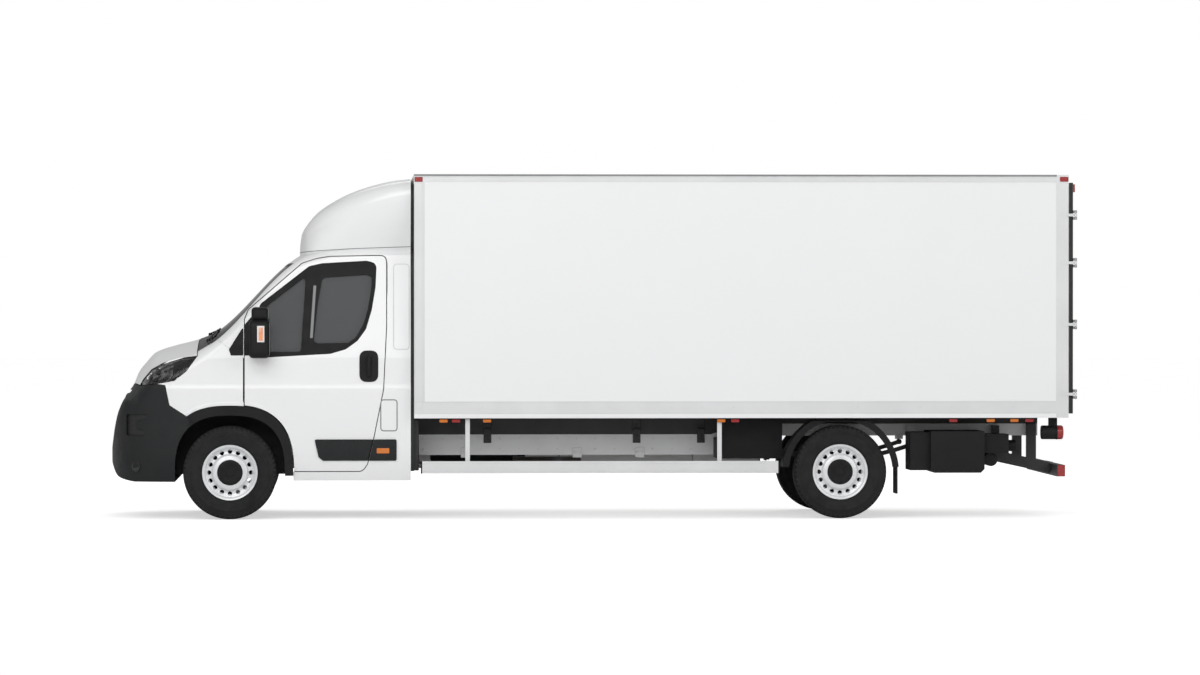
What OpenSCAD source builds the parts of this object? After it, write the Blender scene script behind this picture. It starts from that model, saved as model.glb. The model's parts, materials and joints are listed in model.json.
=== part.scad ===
// Box van on a light van chassis: cab, box body, ladder frame, doors, hood and steered wheels.
// The vehicle faces -X, its left side is -Y, and the ground is z = 0.

/* [Overall] */
// Nose of the bumper to the rearmost lock handle
overall_l = 7758; // [6800:10:8800]
// Nose of the bumper to the front axle
front_overhang = 965; // [900:5:1040]
// Front axle to rear axle
wheelbase = 4896; // [4200:10:5400]
// Ground to the top of the box
box_top_z = 2760; // [2600:10:3300]

/* [Cab] */
// Width across the cab doors
cab_w = 2050; // [1950:10:2100]
// Front axle to the back of the cab
cab_back = 1446; // [1420:5:1500]
// Thickness of a cab door and of the pillars
door_t = 70; // [50:1:80]
// Thickness of the hood and the fenders
skin_t = 25; // [12:1:30]
// Thickness of the cab roof
roof_t = 40; // [20:1:50]
// Thickness of the windscreen and the door glass
glass_t = 6; // [4:0.5:8]
// Shut gap round the cab doors
door_gap = 7; // [6:1:9]
// Gap round the hood
hood_gap = 6; // [5:1:8]
// Width across the door mirrors
mirror_span = 2500; // [2400:10:2600]
// Height of the door window's lower edge
window_sill_z = 1308; // [1290:2:1330]

/* [Box body] */
// Gap between the cab and the box
cab_gap = 26; // [15:1:60]
// Outside width of the box
box_w = 2200; // [2100:10:2400]
// Underside of the box's bottom rail
box_bottom_z = 810; // [800:5:840]
// Thickness of the side, front and roof panels
panel_t = 25; // [15:1:40]
// Thickness of the box floor
floor_t = 40; // [25:1:60]
// Height of the bottom rail
bottom_rail_h = 134; // [100:2:160]
// Height of the top rail
top_rail_h = 60; // [40:1:90]
// Width of the corner posts
post_w = 84; // [60:1:120]
// Thickness of the aluminium profiles
profile_t = 4; // [3:0.5:5]
// Thickness of a rear door leaf
leaf_t = 30; // [20:1:35]
// Gap between a rear door leaf and the frame it shuts on
leaf_gap = 5; // [5:1:8]
// How far a lock handle stands out from its leaf
handle_out = 33; // [28:1:40]

/* [Wheels] */
// Outside diameter of a tyre
tyre_d = 750; // [720:5:780]
// Width of a tyre
tyre_w = 225; // [205:5:235]
// Diameter of the rim's bead seat
rim_d = 406; // [380:2:430]
// Middle of the left tyre to the middle of the right tyre
track_w = 1810; // [1780:5:1830]
// Radius of the wheel spindles
spindle_r = 30; // [24:1:34]
// Radius of the steering pivot pins
pivot_r = 14; // [10:1:16]
// Radial running clearance of pins and spindles
running_gap = 0.05; // [0.02:0.01:0.1]

/* [Frame] */
// Outside width of the ladder frame
frame_w = 900; // [800:10:960]
// Underside of the frame rails
rail_z = 500; // [480:5:520]
// Height of the frame rails
rail_h = 165; // [140:5:180]
// Width of the frame rails
rail_w = 60; // [50:1:80]
// Wall of the frame rails
rail_t = 6; // [4:0.5:8]
// Radius of the holes for a towing bracket
tow_hole_r = 6.5; // [5:0.5:9]
// Towing bracket holes, side to side
tow_hole_dy = 200; // [160:10:300]
// Towing bracket holes, up and down
tow_hole_dz = 50; // [40:5:60]

/* [Hidden] */

// Gap left between fixed pieces that sit on each other
seam = 0.3;
nose_x = -overall_l / 2;
front_x = nose_x + front_overhang;
rear_x = front_x + wheelbase;
handle_x = overall_l / 2;
tyre_r = tyre_d / 2;
cab_half = cab_w / 2;
cab_back_x = front_x + cab_back;
box_x0 = cab_back_x + cab_gap;
box_half = box_w / 2;
leaf_out_x = handle_x - handle_out;
leaf_in_x = leaf_out_x - leaf_t;
box_x1 = leaf_in_x - leaf_gap;
panel_out = box_half - profile_t;
panel_in = panel_out - panel_t;
floor_z1 = box_bottom_z + bottom_rail_h;
floor_z0 = floor_z1 - floor_t;
roof_z1 = box_top_z - profile_t;
roof_z0 = roof_z1 - panel_t;
frame_half = frame_w / 2;
rail_top = rail_z + rail_h;
cab_floor_t = 30;
back_t = 30;
cab_floor_z = rail_top + seam + cab_floor_t;
seat_z = cab_floor_z + 265;
driver_y = -480;
bench_y = 480;
wheel_y = track_w / 2;
pivot_y = wheel_y - 145;
tow_eye_y = 420;
tow_eye_z = rail_z + 70;
tow_eye_r = 11;

// ---- helpers ----

// A block between two corners
module block(low, high) {
    translate(low) cube(high - low);
}

// A shape and its mirror image on the other side of the vehicle
module both_sides() {
    children();
    mirror([0, 1, 0]) children();
}

// The left (-Y) or right (+Y) copy of a shape drawn on the left
module side(right) {
    if (right) mirror([0, 1, 0]) children();
    else children();
}

// A side-view outline (X, Z) made solid from y0 to y1
module across(y0, y1) {
    translate([0, y1, 0]) rotate([90, 0, 0]) linear_extrude(y1 - y0) children();
}

// A front-view outline (Y, Z) made solid from x0 to x1
module along(x0, x1) {
    translate([x0, 0, 0]) rotate([90, 0, 90]) linear_extrude(x1 - x0) children();
}

// A round bar along X, Y or Z from its low end
module bar_x(p, r, l) { translate(p) rotate([0, 90, 0]) cylinder(h = l, r = r, $fn = 48); }
module bar_y(p, r, l) { translate(p) rotate([-90, 0, 0]) cylinder(h = l, r = r, $fn = 48); }
module bar_z(p, r, l) { translate(p) cylinder(h = l, r = r, $fn = 48); }

// Points of a quarter or longer arc in a plane
function arc(c, r, a0, a1, n) = [for (i = [0:n]) let (a = a0 + (a1 - a0) * i / n)
    c + r * [cos(a), sin(a)]];

// Side-view points given from the front axle, moved to their place
function from_axle(points) = [for (p = points) [p[0] + front_x, p[1]]];

// Squared-off arch over a wheel: half-width a, height b over the axle
arch_power = 2.6;
function arch(a, b, n) = [for (i = [0:n]) let (t = 180 * i / n)
    [a * sign(cos(t)) * pow(abs(cos(t)), 2 / arch_power), tyre_r + b * pow(sin(t), 2 / arch_power)]];
arch_in = [440, 458];
arch_out = [507, 537];
liner_room = 40;
liner_y = 575;
arch_low = 250;
function arch_opening(size, extra) = from_axle(concat(
    [[size[0] + extra, arch_low - extra]], arch(size[0] + extra, size[1] + extra, 20),
    [[-size[0] - extra, arch_low - extra]]));

// ---- outer shape of the cab ----

sill_z = 310;
crease_z = 1060;
belt_z = 1300;
// Lean of the side above the crease, and the further lean above the belt
crease_lean = 0.05;
tumblehome = 0.09;
sill_tuck = 45;

// Stations along the cab: distance behind the front axle, underside, top at the middle,
// how far the side lies inside the full width, fall of the crown, and corner radius
STATIONS = [
    [-front_overhang, 440, 585, 695, 5, 40],
    [-938, 385, 740, 470, 15, 60],
    [-905, 340, 880, 325, 25, 80],
    [-860, 320, 985, 225, 45, 100],
    [-797, 305, 1075, 155, 110, 130],
    [-757, 300, 1172, 125, 165, 150],
    [-696, 300, 1252, 95, 165, 150],
    [-617, 300, 1332, 68, 150, 140],
    [-479, 300, 1381, 38, 130, 130],
    [-290, 300, 1430, 16, 105, 110],
    [-165, 305, 1475, 7, 80, 100],
    [489, sill_z, 2075, 3, 40, 90],
    [640, sill_z, 2160, 1, 38, 105],
    [900, sill_z, 2212, 0, 35, 110],
    [cab_back, sill_z, 2228, 4, 35, 110]
];

// Half-width of the side at height z where its widest half is w
function side_y(w, z) = w
    - sill_tuck * pow(max(0, 1 - (z - sill_z) / 300), 2)
    - crease_lean * max(0, z - crease_z)
    - tumblehome * max(0, z - belt_z);

// Heights at which the side changes its slope
SIDE_LEVELS = [370, 450, 600, crease_z, belt_z, 1700];

// Half outline of a station, from the sill to the middle of the crown, d inside the skin
function half_section(s, d) = let (
    w = cab_half - s[3],
    top = s[2] - d,
    low = s[1] + min(d, door_low_z + door_gap / 2 - sill_z),
    shoulder = max(low + 20, top - s[4] - s[5]),
    r = min(s[5], top - s[4] - shoulder),
    yc = side_y(w, shoulder) - d - r,
    fall = atan(2 * s[4] / max(yc, 1)),
    rim = [yc + r * sin(fall), shoulder + r * cos(fall)])
    concat(
        [for (z = concat([low], [for (v = SIDE_LEVELS) if (v > low + 20 && v < shoulder - 20) v], [shoulder]))
            [side_y(w, z) - d, z]],
        [for (i = [1:4]) let (a = (90 - fall) * i / 4) [yc + r * cos(a), shoulder + r * sin(a)]],
        [for (i = [1:3]) let (k = 1 - i / 3) [rim[0] * k, rim[1] + (top - rim[1]) * (1 - k * k)]]);

// Full outline of a station
function section(s, d) = let (h = half_section(s, d), n = len(h))
    concat(h, [for (i = [n - 2:-1:0]) [-h[i][0], h[i][1]]]);

// How much of an inset goes rearward: all at the nose, none behind the windscreen's foot
function rearward(u) = min(1, max(0, (-165 - u) / 600));

// Where a station's thin slice starts; the last one ends at the back of the cab
slice = 1;
function slice_x(s, d) = front_x + s[0] + d * rearward(s[0]) - (s[0] == cab_back ? slice : 0);

// The cab as one solid, d inside the skin
module cab_solid(d) {
    for (i = [0:len(STATIONS) - 2]) hull() for (s = [STATIONS[i], STATIONS[i + 1]])
        along(slice_x(s, d), slice_x(s, d) + slice) polygon(section(s, d));
}

// Skin of the cab, t thick, starting d inside the outer surface, open at the back
module cab_skin(t, d = 0) {
    last = STATIONS[len(STATIONS) - 1];
    difference() {
        cab_solid(d);
        cab_solid(d + t);
        along(cab_back_x - 1, cab_back_x + 1) polygon(section(last, d + t));
    }
}

// ---- side-view outlines of the cab's panels, from the front axle ----

cowl_u = -258;
firewall_u = -150;
cowl_half = 880;
pillar_foot = [[firewall_u, 1478], [-6, 1372], [112, belt_z - 8]];
roof_split_u = 440;
roof_split_z = 2124;
door_top_z = 2118;
door_front_u = 112;
door_rear_u = 1263;
door_low_z = 380;
// Extra gap behind a door, where its rear edge swings past the pillar
door_swing = 6;
lamp_top = [[-262, 1304], [-414, 1283], [-540, 1245], [-628, 1196], [-696, 1118], [-722, 1068]];
lamp_low = [[-579, 1085], [-444, 1109], [-347, 1186]];
bumper_edge = [[-722, 1068], [-579, 1085], [-516, 1075], [-482, 915], [-317, 808]];
hood_front_z = 1077;

module door_outline(gap, swing = 0) {
    back = door_rear_u - swing;
    difference() {
        offset(delta = -gap) polygon(from_axle([
            [door_front_u, door_low_z], [door_front_u, 1600], [142, 1680], [574, 2054], [690, 2092],
            [800, 2110], [back, door_top_z], [back, 1550], [back - 25, 1041], [back - 102, 658],
            [back - 153, 441], [back - 185, 395], [back - 215, door_low_z]]));
        polygon(arch_opening(arch_out, gap));
    }
}

module window_outline(gap) {
    corner_r = 45;
    offset(delta = -gap) offset(r = corner_r, $fn = 24) offset(delta = -corner_r) polygon(from_axle([
        [230, window_sill_z], [250, 1712], [640, 2014], [740, 2036], [1090, 2056], [1158, 2040],
        [1150, 1860], [1120, 1680], [1075, 1530], [1010, 1440], [920, 1375], [800, window_sill_z + 32]]));
}

// The upright between the front quarter pane and the main pane
module window_bar(gap) {
    bar_half = 17;
    polygon(from_axle([[605 - bar_half - gap, 1250], [655 - bar_half - gap, 2100],
        [655 + bar_half + gap, 2100], [605 + bar_half + gap, 1250]]));
}

module windscreen_outline(grow) {
    half = [[860, 1380], [905, 1425], [905, 1440], [830, 1992], [775, 2052]];
    offset(delta = grow) polygon(concat(half, [for (i = [len(half) - 1:-1:0]) [-half[i][0], half[i][1]]]));
}

// ---- cab panels ----

// Upright strip behind the door's rear edge, from u0 to u1 past that edge
module flange_strip(u0, u1) {
    polygon(from_axle([[door_rear_u + u0, crease_z], [door_rear_u + u1, crease_z],
        [door_rear_u + u1, belt_z], [door_rear_u + u0, belt_z]]));
}

// Pillars, sill and rear quarter of one side
module side_panel() {
    reach = 300;
    difference() {
        intersection() {
            cab_skin(door_t);
            across(-cab_half, -cab_half + reach) difference() {
                offset(delta = -seam / 2) polygon(from_axle(concat(pillar_foot, [
                    [door_front_u, arch_low], [cab_back, arch_low], [cab_back, roof_split_z],
                    [door_rear_u, roof_split_z], [door_rear_u, 2060], [roof_split_u, 1850],
                    [roof_split_u, roof_split_z], [firewall_u, 1600]])));
                door_outline(0);
                polygon(arch_opening(arch_out, seam));
            }
        }
        along(front_x - 400, front_x + 560) windscreen_outline(0);
        block([front_x, -cab_half + door_t + 60, 0], [cab_back_x, 0, 600]);
        block([cab_back_x - back_t - seam, -cab_half + door_t, 0], [cab_back_x + 1, 0, 2400]);
    }
}

// One side of the cab, with the flange that the shut door rests on
module cab_side(right) {
    flange_t = 12;
    flange_w = 55;
    root = 30;
    color("white") side(right) {
        side_panel();
        intersection() {
            cab_skin(flange_t, door_t + seam);
            across(-cab_half, 0) flange_strip(-flange_w, root);
        }
        intersection() {
            cab_skin(2 * flange_t + seam, door_t - flange_t);
            across(-cab_half, 0) flange_strip(seam, root);
        }
    }
}

module cab_roof() {
    color("white") difference() {
        intersection() {
            cab_skin(roof_t);
            across(-cab_half, cab_half) difference() {
                polygon(from_axle([[roof_split_u + seam, 1800], [roof_split_u + seam, 2400],
                    [cab_back, 2400], [cab_back, roof_split_z + seam], [door_rear_u, roof_split_z + seam],
                    [door_rear_u, 1800]]));
                door_outline(0);
            }
        }
        along(front_x - 400, front_x + 560) windscreen_outline(0);
    }
}

// Wall behind the seats
module cab_back_panel() {
    last = STATIONS[len(STATIONS) - 1];
    color("white") intersection() {
        along(cab_back_x - back_t, cab_back_x - seam) polygon(section(last, door_t + seam));
        block([cab_back_x - 2 * back_t, -cab_half, cab_floor_z - cab_floor_t],
            [cab_back_x, cab_half, 2400]);
    }
}

module front_fenders() {
    color("white") both_sides() intersection() {
        cab_skin(skin_t);
        block([nose_x, -cab_half, 600], [cab_back_x, -600, 1600]);
        difference() {
            across(-cab_half, -600) offset(delta = -seam / 2) difference() {
                polygon(from_axle(concat([[cowl_u, 1304], [cowl_u, 1500], [firewall_u, 1500]], pillar_foot, [
                    [door_front_u, 700], [-317, 700], [-317, 808], [-482, 915], [-516, 1075],
                    [-579, 1085]], [for (p = lamp_low) if (p[0] > -579) p], [lamp_top[0]])));
                polygon(arch_opening(arch_out, 0));
            }
            across(-cab_half, 0) polygon(from_axle([[door_front_u - door_gap, 600],
                [door_front_u - door_gap, belt_z + 30], [door_front_u + 50, belt_z + 30],
                [door_front_u + 50, 600]]));
            block([nose_x, -cowl_half, belt_z], [front_x + firewall_u, 0, 1600]);
            along(front_x + firewall_u, front_x + 560) windscreen_outline(0);
        }
    }
}

module front_bumper() {
    tow_r = 30;
    color("dimgray") difference() {
        intersection() {
            cab_skin(skin_t + 10);
            across(-cab_half, cab_half) offset(delta = -seam / 2) difference() {
                polygon(from_axle(concat([[-1100, arch_low], [-1100, hood_front_z], [-760, hood_front_z]],
                    bumper_edge, [[-317, arch_low]])));
                polygon(arch_opening(arch_in, 0));
            }
        }
        bar_x([nose_x - 10, tow_eye_y, tow_eye_z], tow_r, 200);
    }
}

module headlights() {
    lamp_t = 60;
    color("lightgray") both_sides() intersection() {
        cab_skin(lamp_t);
        across(-cab_half, -500) offset(delta = -seam) polygon(from_axle(concat(lamp_top, lamp_low)));
    }
}

module hood() {
    color("white") intersection() {
        cab_skin(skin_t);
        across(-cab_half, cab_half) offset(delta = -hood_gap) polygon(from_axle(concat(
            [[cowl_u, 1600], [cowl_u, 1304]], lamp_top, [[-760, hood_front_z], [-1100, hood_front_z],
            [-1100, 1600]])));
    }
}

module windscreen() {
    color("dimgray", 0.5) intersection() {
        cab_skin(glass_t / cos(42));
        along(front_x + firewall_u + seam, front_x + 560) windscreen_outline(-seam);
    }
}

// Liners between the body skin and the frame, with the dark lip that shows round the arch
module wheel_arch_liners() {
    liner_t = 8;
    steer_room = 25;
    lip_depth = 45;
    color("black") both_sides() difference() {
        union() {
            across(-cab_half + 6, -cab_half + lip_depth) difference() {
                polygon(arch_opening(arch_out, -seam));
                polygon(arch_opening(arch_in, 0));
            }
            across(-cab_half + lip_depth, -liner_y) difference() {
                polygon(arch_opening(arch_in, steer_room + liner_t));
                polygon(arch_opening(arch_in, steer_room));
            }
        }
        across(-cab_half - 1, 0) polygon(from_axle([[-600, 0], [600, 0], [600, 350], [-600, 350]]));
        across(-cab_half - 1, 0) offset(delta = seam) polygon(from_axle([[-482, 915], [-317, 808],
            [-317, 300], [-600, 300], [-600, 915]]));
    }
}

// Floor, step boxes, firewall, cowl, hood brackets and seat boxes: the welded middle of the cab
module cab_floor() {
    edge_y = cab_half - door_t - 12;
    back = cab_back_x - back_t - seam;
    wall_x = front_x + firewall_u - 30;
    step_x = front_x + 515;
    step_y = [edge_y - 34, edge_y - 140];
    cowl_z = 1395;
    bracket_y = [640, 600];
    color("gray") difference() {
        union() {
            block([wall_x, -edge_y, cab_floor_z - cab_floor_t], [back, edge_y, cab_floor_z]);
            both_sides() block([step_x, -step_y[0], door_low_z + seam], [back, -step_y[1], cab_floor_z]);
            block([wall_x, -cowl_half + seam, cab_floor_z - cab_floor_t],
                [front_x + firewall_u, cowl_half - seam, cowl_z]);
            intersection() {
                cab_skin(skin_t);
                block([front_x + cowl_u + 1, -cowl_half + seam, 1250],
                    [front_x + firewall_u - seam, cowl_half - seam, 1600]);
            }
            block([wall_x, -cowl_half + 20, cowl_z - 15],
                [front_x + firewall_u - seam, cowl_half - 20, cowl_z + 30]);
            both_sides() intersection() {
                cab_solid(skin_t + seam);
                block([front_x + cowl_u - 60, -bracket_y[0], belt_z],
                    [wall_x + 1, -bracket_y[1], cowl_z + 30]);
            }
            for (y = [driver_y, bench_y]) block([front_x + 640, y - 190, cab_floor_z],
                [front_x + 1060, y + 190, seat_z - seam]);
        }
        both_sides() across(-cab_half, -liner_y + 10) polygon(arch_opening(arch_in, liner_room));
    }
}

module dash_outline(grow) {
    polygon(from_axle([[firewall_u + seam, 1000], [firewall_u + seam, 1375], [-40, 1420 + grow],
        [130 + grow, 1350 + grow], [205 + grow, 1270 + grow], [215 + grow, 1130], [130 + grow, 1000]]));
}

module dashboard() {
    color("dimgray") across(-cowl_half, cowl_half) dash_outline(0);
}

module steering_wheel() {
    rim_r = 195;
    grip_r = 15;
    tilt = 42;
    color("black") difference() {
        translate([front_x + 420, driver_y, 1370]) rotate([0, tilt, 0]) {
            rotate_extrude($fn = 64) translate([rim_r, 0]) circle(r = grip_r, $fn = 16);
            translate([0, 0, -25]) cylinder(h = 40, r = 70, $fn = 48);
            for (a = [90, 210, 330]) rotate([0, 0, a]) translate([0, -18, -12]) cube([rim_r, 36, 14]);
            translate([0, 0, -330]) cylinder(h = 310, r = 32, $fn = 48);
        }
        across(driver_y - 100, driver_y + 100) dash_outline(seam);
    }
}

// A seat, w wide about y: cushion and leaning back in one outline, and a head rest on two pins
module seat(y, w) {
    head_half = w / 2 - 110;
    color("dimgray") translate([front_x, y, seat_z]) {
        across(-w / 2, w / 2) polygon([[600, 0], [600, 105], [625, 130], [1085, 130], [1225, 690],
            [1340, 690], [1195, 60], [1180, 0]]);
        across(-head_half, head_half) polygon([[1250, 720], [1285, 885], [1355, 870], [1322, 715]]);
        both_sides() bar_z([1287, -40, 670], 7, 80);
    }
}

module driver_seat() { seat(driver_y, 480); }
module passenger_bench() { seat(bench_y, 780); }

// Stations of the roof fairing: distance behind the front axle, underside, top, half-width at the
// foot, half-width at the shoulder, corner radius
FAIRING = [
    [555, 2100, 2205, 300, 280, 20],
    [568, 2100, 2290, 520, 480, 60],
    [619, 2110, 2377, 745, 720, 90],
    [694, 2120, 2464, 815, 810, 110],
    [820, 2130, 2552, 838, 880, 120],
    [983, 2140, 2634, 845, 935, 125],
    [1170, 2145, 2695, 848, 985, 125],
    [1321, 2148, 2728, 850, 1015, 120],
    [cab_back, 2150, 2742, 850, 1030, 115]
];

function fairing_half(s, d) = let (r = s[5], top = s[2] - d, y = s[4] - d)
    concat([[s[3] - d, s[1]], [(s[3] + s[4]) / 2 - d + 25, (s[1] + top - r) / 2]],
        [for (i = [0:4]) [y - r + r * cos(i * 21), top - 30 - r + r * sin(i * 21)]], [[y * 0.4, top - 5]]);

function fairing_x(s, d) = slice_x(s, 0) + 1.5 * d * max(0, 1 - (s[0] - FAIRING[0][0]) / 600);

module fairing_solid(d) {
    for (i = [0:len(FAIRING) - 2]) hull() for (s = [FAIRING[i], FAIRING[i + 1]])
        along(fairing_x(s, d), fairing_x(s, d) + slice)
            polygon(let (h = fairing_half(s, d), n = len(h))
                concat(h, [for (i = [n - 1:-1:0]) [-h[i][0], h[i][1]]]));
}

module roof_fairing() {
    fairing_t = 12;
    color("white") difference() {
        fairing_solid(0);
        fairing_solid(fairing_t);
        translate([20, 0, 0]) intersection() {
            fairing_solid(fairing_t);
            block([cab_back_x - 60, -box_half, 0], [cab_back_x + 60, box_half, 3000]);
        }
        cab_solid(-seam);
        block([front_x, -box_half, 0], [cab_back_x, box_half, 2110]);
    }
}

// ---- doors ----

module door(right) {
    color("white") side(right) intersection() {
        cab_skin(door_t);
        across(-cab_half, -600) difference() {
            door_outline(door_gap, door_swing);
            difference() {
                window_outline(0);
                window_bar(0);
            }
        }
    }
}

module door_glass(right) {
    recess = 22;
    color("dimgray", 0.6) side(right) intersection() {
        cab_skin(glass_t, recess);
        across(-cab_half, -600) difference() {
            window_outline(seam);
            window_bar(seam);
        }
    }
}

// Mirror housing on its arm, with the small upper lobe
module door_mirror(right) {
    reach = mirror_span / 2;
    color("black") side(right) difference() {
        translate([front_x, 0, 0]) {
            hull() {
                block([150, -reach + 6, 1310], [225, -cab_half - 45, 1585]);
                block([170, -reach, 1330], [300, -cab_half - 55, 1560]);
            }
            hull() {
                block([172, -reach + 20, 1575], [215, -cab_half - 75, 1690]);
                block([190, -reach + 40, 1580], [300, -cab_half - 90, 1690]);
            }
            block([165, -cab_half - 50, 1340], [205, -cab_half + 60, 1420]);
            block([130, -cab_half + 5, 1325], [235, -cab_half + 60, 1440]);
        }
        cab_solid(-seam);
    }
}

// ---- box body ----

rear_frame_d = 98;
side_x0 = box_x0 + profile_t + panel_t;
side_x1 = box_x1 - rear_frame_d;

module box_floor() {
    color("sienna") block([side_x0, -panel_in, floor_z0], [side_x1, panel_in, floor_z1]);
}

module box_front_wall() {
    color("white") block([box_x0 + profile_t, -panel_out, box_bottom_z], [side_x0, panel_out, roof_z0]);
}

module box_side(right) {
    color("white") side(right)
        block([side_x0, -panel_out, box_bottom_z], [side_x1, -panel_in, roof_z0]);
}

module box_roof() {
    color("white") block([box_x0 + profile_t, -panel_out, roof_z0], [side_x1, panel_out, roof_z1]);
}

// Aluminium profiles over the box's edges: bottom rails, top rails and front corner posts
module box_profiles() {
    color("silver") both_sides() {
        block([box_x0, -box_half, box_bottom_z], [side_x1, -panel_out, floor_z1]);
        block([box_x0, -box_half, box_top_z - top_rail_h], [side_x1, -panel_out, box_top_z]);
        block([box_x0, -box_half, roof_z1], [side_x1, -box_half + top_rail_h, box_top_z]);
        block([box_x0, -box_half, box_bottom_z], [box_x0 + post_w, -panel_out, box_top_z]);
        block([box_x0, -box_half, box_bottom_z], [box_x0 + profile_t, -box_half + post_w, box_top_z]);
    }
}

// ---- rear doors ----

hinge_zs = [1000, 1560, 2055, 2438];
hinge_h = 75;
knuckle_h = 22;
hinge_pin_r = 5;
barrel_r = 11;
hinge_x = leaf_out_x + 20;
hinge_y = box_half + 18;
leaf_z0 = box_bottom_z + 34;
leaf_z1 = box_top_z - 62;
leaf_edge_y = box_half - 12;
leaf_mid_gap = 8;

// Rear portal with the fixed half of each hinge
module box_rear_frame() {
    post_d = 60;
    header_h = 95;
    plate_t = 8;
    color("silver") difference() {
        union() {
            both_sides() block([side_x1, -box_half, box_bottom_z], [box_x1, -box_half + post_d, box_top_z]);
            block([side_x1, -box_half, box_top_z - header_h], [box_x1, box_half, box_top_z]);
            block([side_x1, -box_half, box_bottom_z], [box_x1, box_half, floor_z1]);
            both_sides() for (z = hinge_zs) {
                block([box_x1 - 60, -box_half - plate_t, z - knuckle_h / 2],
                    [hinge_x, -box_half, z + knuckle_h / 2]);
                bar_z([hinge_x, -hinge_y, z - knuckle_h / 2], barrel_r, knuckle_h);
            }
        }
        both_sides() for (z = hinge_zs)
            bar_z([hinge_x, -hinge_y, z - hinge_h], hinge_pin_r + running_gap, 2 * hinge_h);
    }
}

// Door leaf with its hinge straps, pins, lock rod and handle
module rear_door(right) {
    strap_l = 158;
    strap_t = 12;
    rod_y = 150;
    rod_r = 12;
    rod_x = leaf_out_x + 16;
    handle_z = 1070;
    color("white") side(right) {
        block([leaf_in_x, -leaf_edge_y, leaf_z0], [leaf_out_x, -leaf_mid_gap / 2, leaf_z1]);
        for (z = hinge_zs) {
            bar_z([hinge_x, -hinge_y, z - hinge_h / 2], hinge_pin_r, hinge_h);
            for (z0 = [z - hinge_h / 2, z + hinge_h / 2 - knuckle_h]) {
                bar_z([hinge_x, -hinge_y, z0], barrel_r, knuckle_h);
                block([leaf_out_x, -hinge_y, z0], [leaf_out_x + strap_t, -hinge_y + strap_l,
                    z0 + knuckle_h]);
            }
        }
        bar_z([rod_x, -rod_y, leaf_z0 + 10], rod_r, leaf_z1 - leaf_z0 - 20);
        for (k = [0:4]) block([leaf_out_x, -rod_y - 20, leaf_z0 + 60 + k * (leaf_z1 - leaf_z0 - 160) / 4],
            [rod_x + 4, -rod_y + 20, leaf_z0 + 100 + k * (leaf_z1 - leaf_z0 - 160) / 4]);
        block([rod_x, -rod_y - 360, handle_z - 16], [handle_x, -rod_y + 14, handle_z + 16]);
        block([leaf_out_x, -rod_y - 330, handle_z - 30], [rod_x + 1, -rod_y - 290, handle_z + 30]);
    }
}

// ---- chassis ----

kick_x0 = front_x + 3890;
kick_x1 = kick_x0 + 260;
rail_end_x = box_x1 - 170;
rear_rail_top = rail_top + 85;
rear_rail_h = 97;
rail_front_x = nose_x + 145;
beam_x = nose_x + 85;

function rail_top_line(x0) = [[x0, rail_top], [kick_x0, rail_top], [kick_x1, rear_rail_top],
    [rail_end_x, rear_rail_top]];

module rail_outline(t) {
    e = t > 0 ? 1 : 0;
    polygon([[rail_front_x - e, rail_z + t], [kick_x0, rail_z + t],
        [kick_x1 + 80, rear_rail_top - rear_rail_h + t], [rail_end_x + e, rear_rail_top - rear_rail_h + t],
        [rail_end_x + e, rear_rail_top - t], [kick_x1, rear_rail_top - t], [kick_x0, rail_top - t],
        [rail_front_x - e, rail_top - t]]);
}

cross_xs = [front_x - 700, front_x + 700, cab_back_x - 60, cab_back_x + 1200, cab_back_x + 2300,
    rear_x + 500];
cross_l = 70;
spring_y = frame_half + 40;
spring_l = 620;
spring_eye_z = 580;
eye_r = 22;

module chassis_frame() {
    web = frame_half - rail_t;
    boss_r = 24;
    color("lightgray") difference() {
        union() {
            both_sides() difference() {
                across(-frame_half, -frame_half + rail_w) rail_outline(0);
                across(-web, -frame_half + rail_w + 1) rail_outline(rail_t);
            }
            for (x = cross_xs) {
                lift = x > kick_x1 ? rear_rail_top - rear_rail_h - rail_z : 0;
                h = x > kick_x1 ? rear_rail_h : rail_h;
                block([x, -web, rail_z + lift + rail_t], [x + cross_l, web, rail_z + lift + h - rail_t]);
            }
            block([rail_end_x - 12, -web, rear_rail_top - rear_rail_h], [rail_end_x, web, rear_rail_top]);
            block([beam_x, -frame_half - 60, rail_z + 10], [rail_front_x, frame_half + 60, rail_top - 20]);
            bar_x([beam_x - 20, tow_eye_y, tow_eye_z], boss_r, 40);
            both_sides() {
                block([front_x - 500, -web - 1, rail_z + 30], [front_x - 380, -330 - seam, rail_top - 30]);
                for (x = [rear_x - spring_l, rear_x + spring_l]) block([x - 30, -spring_y - 30,
                    spring_eye_z + eye_r + seam], [x + 30, -frame_half + 1, rear_rail_top - 15]);
            }
        }
        bar_x([beam_x - 30, tow_eye_y, tow_eye_z], tow_eye_r, 80);
        for (y = [-1, 1], z = [-1, 1]) bar_x([rail_end_x - 20, y * tow_hole_dy / 2,
            rear_rail_top - rear_rail_h / 2 + z * tow_hole_dz / 2], tow_hole_r, 30);
    }
}

// Cross bearers under the box floor, and the long members that carry them on the ladder frame
bearer_z0 = box_bottom_z - 6;
bearer_l = 60;
guard_post_xs = [box_x0 + 410, box_x0 + 2430];
bearer_xs = concat([box_x0 + 40, guard_post_xs[0] - 10], [for (i = [1:3])
    guard_post_xs[0] - 10 + i * (guard_post_xs[1] - guard_post_xs[0]) / 4], [guard_post_xs[1] - 10,
    rear_x - 190, rear_x + 130, rear_x + 800, rail_end_x - 200]);

module box_subframe() {
    color("black") both_sides() across(-frame_half, -frame_half + rail_w) polygon(concat(
        rail_top_line(box_x0 + 30), [[rail_end_x, bearer_z0 - seam], [box_x0 + 30, bearer_z0 - seam]]));
}

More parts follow.
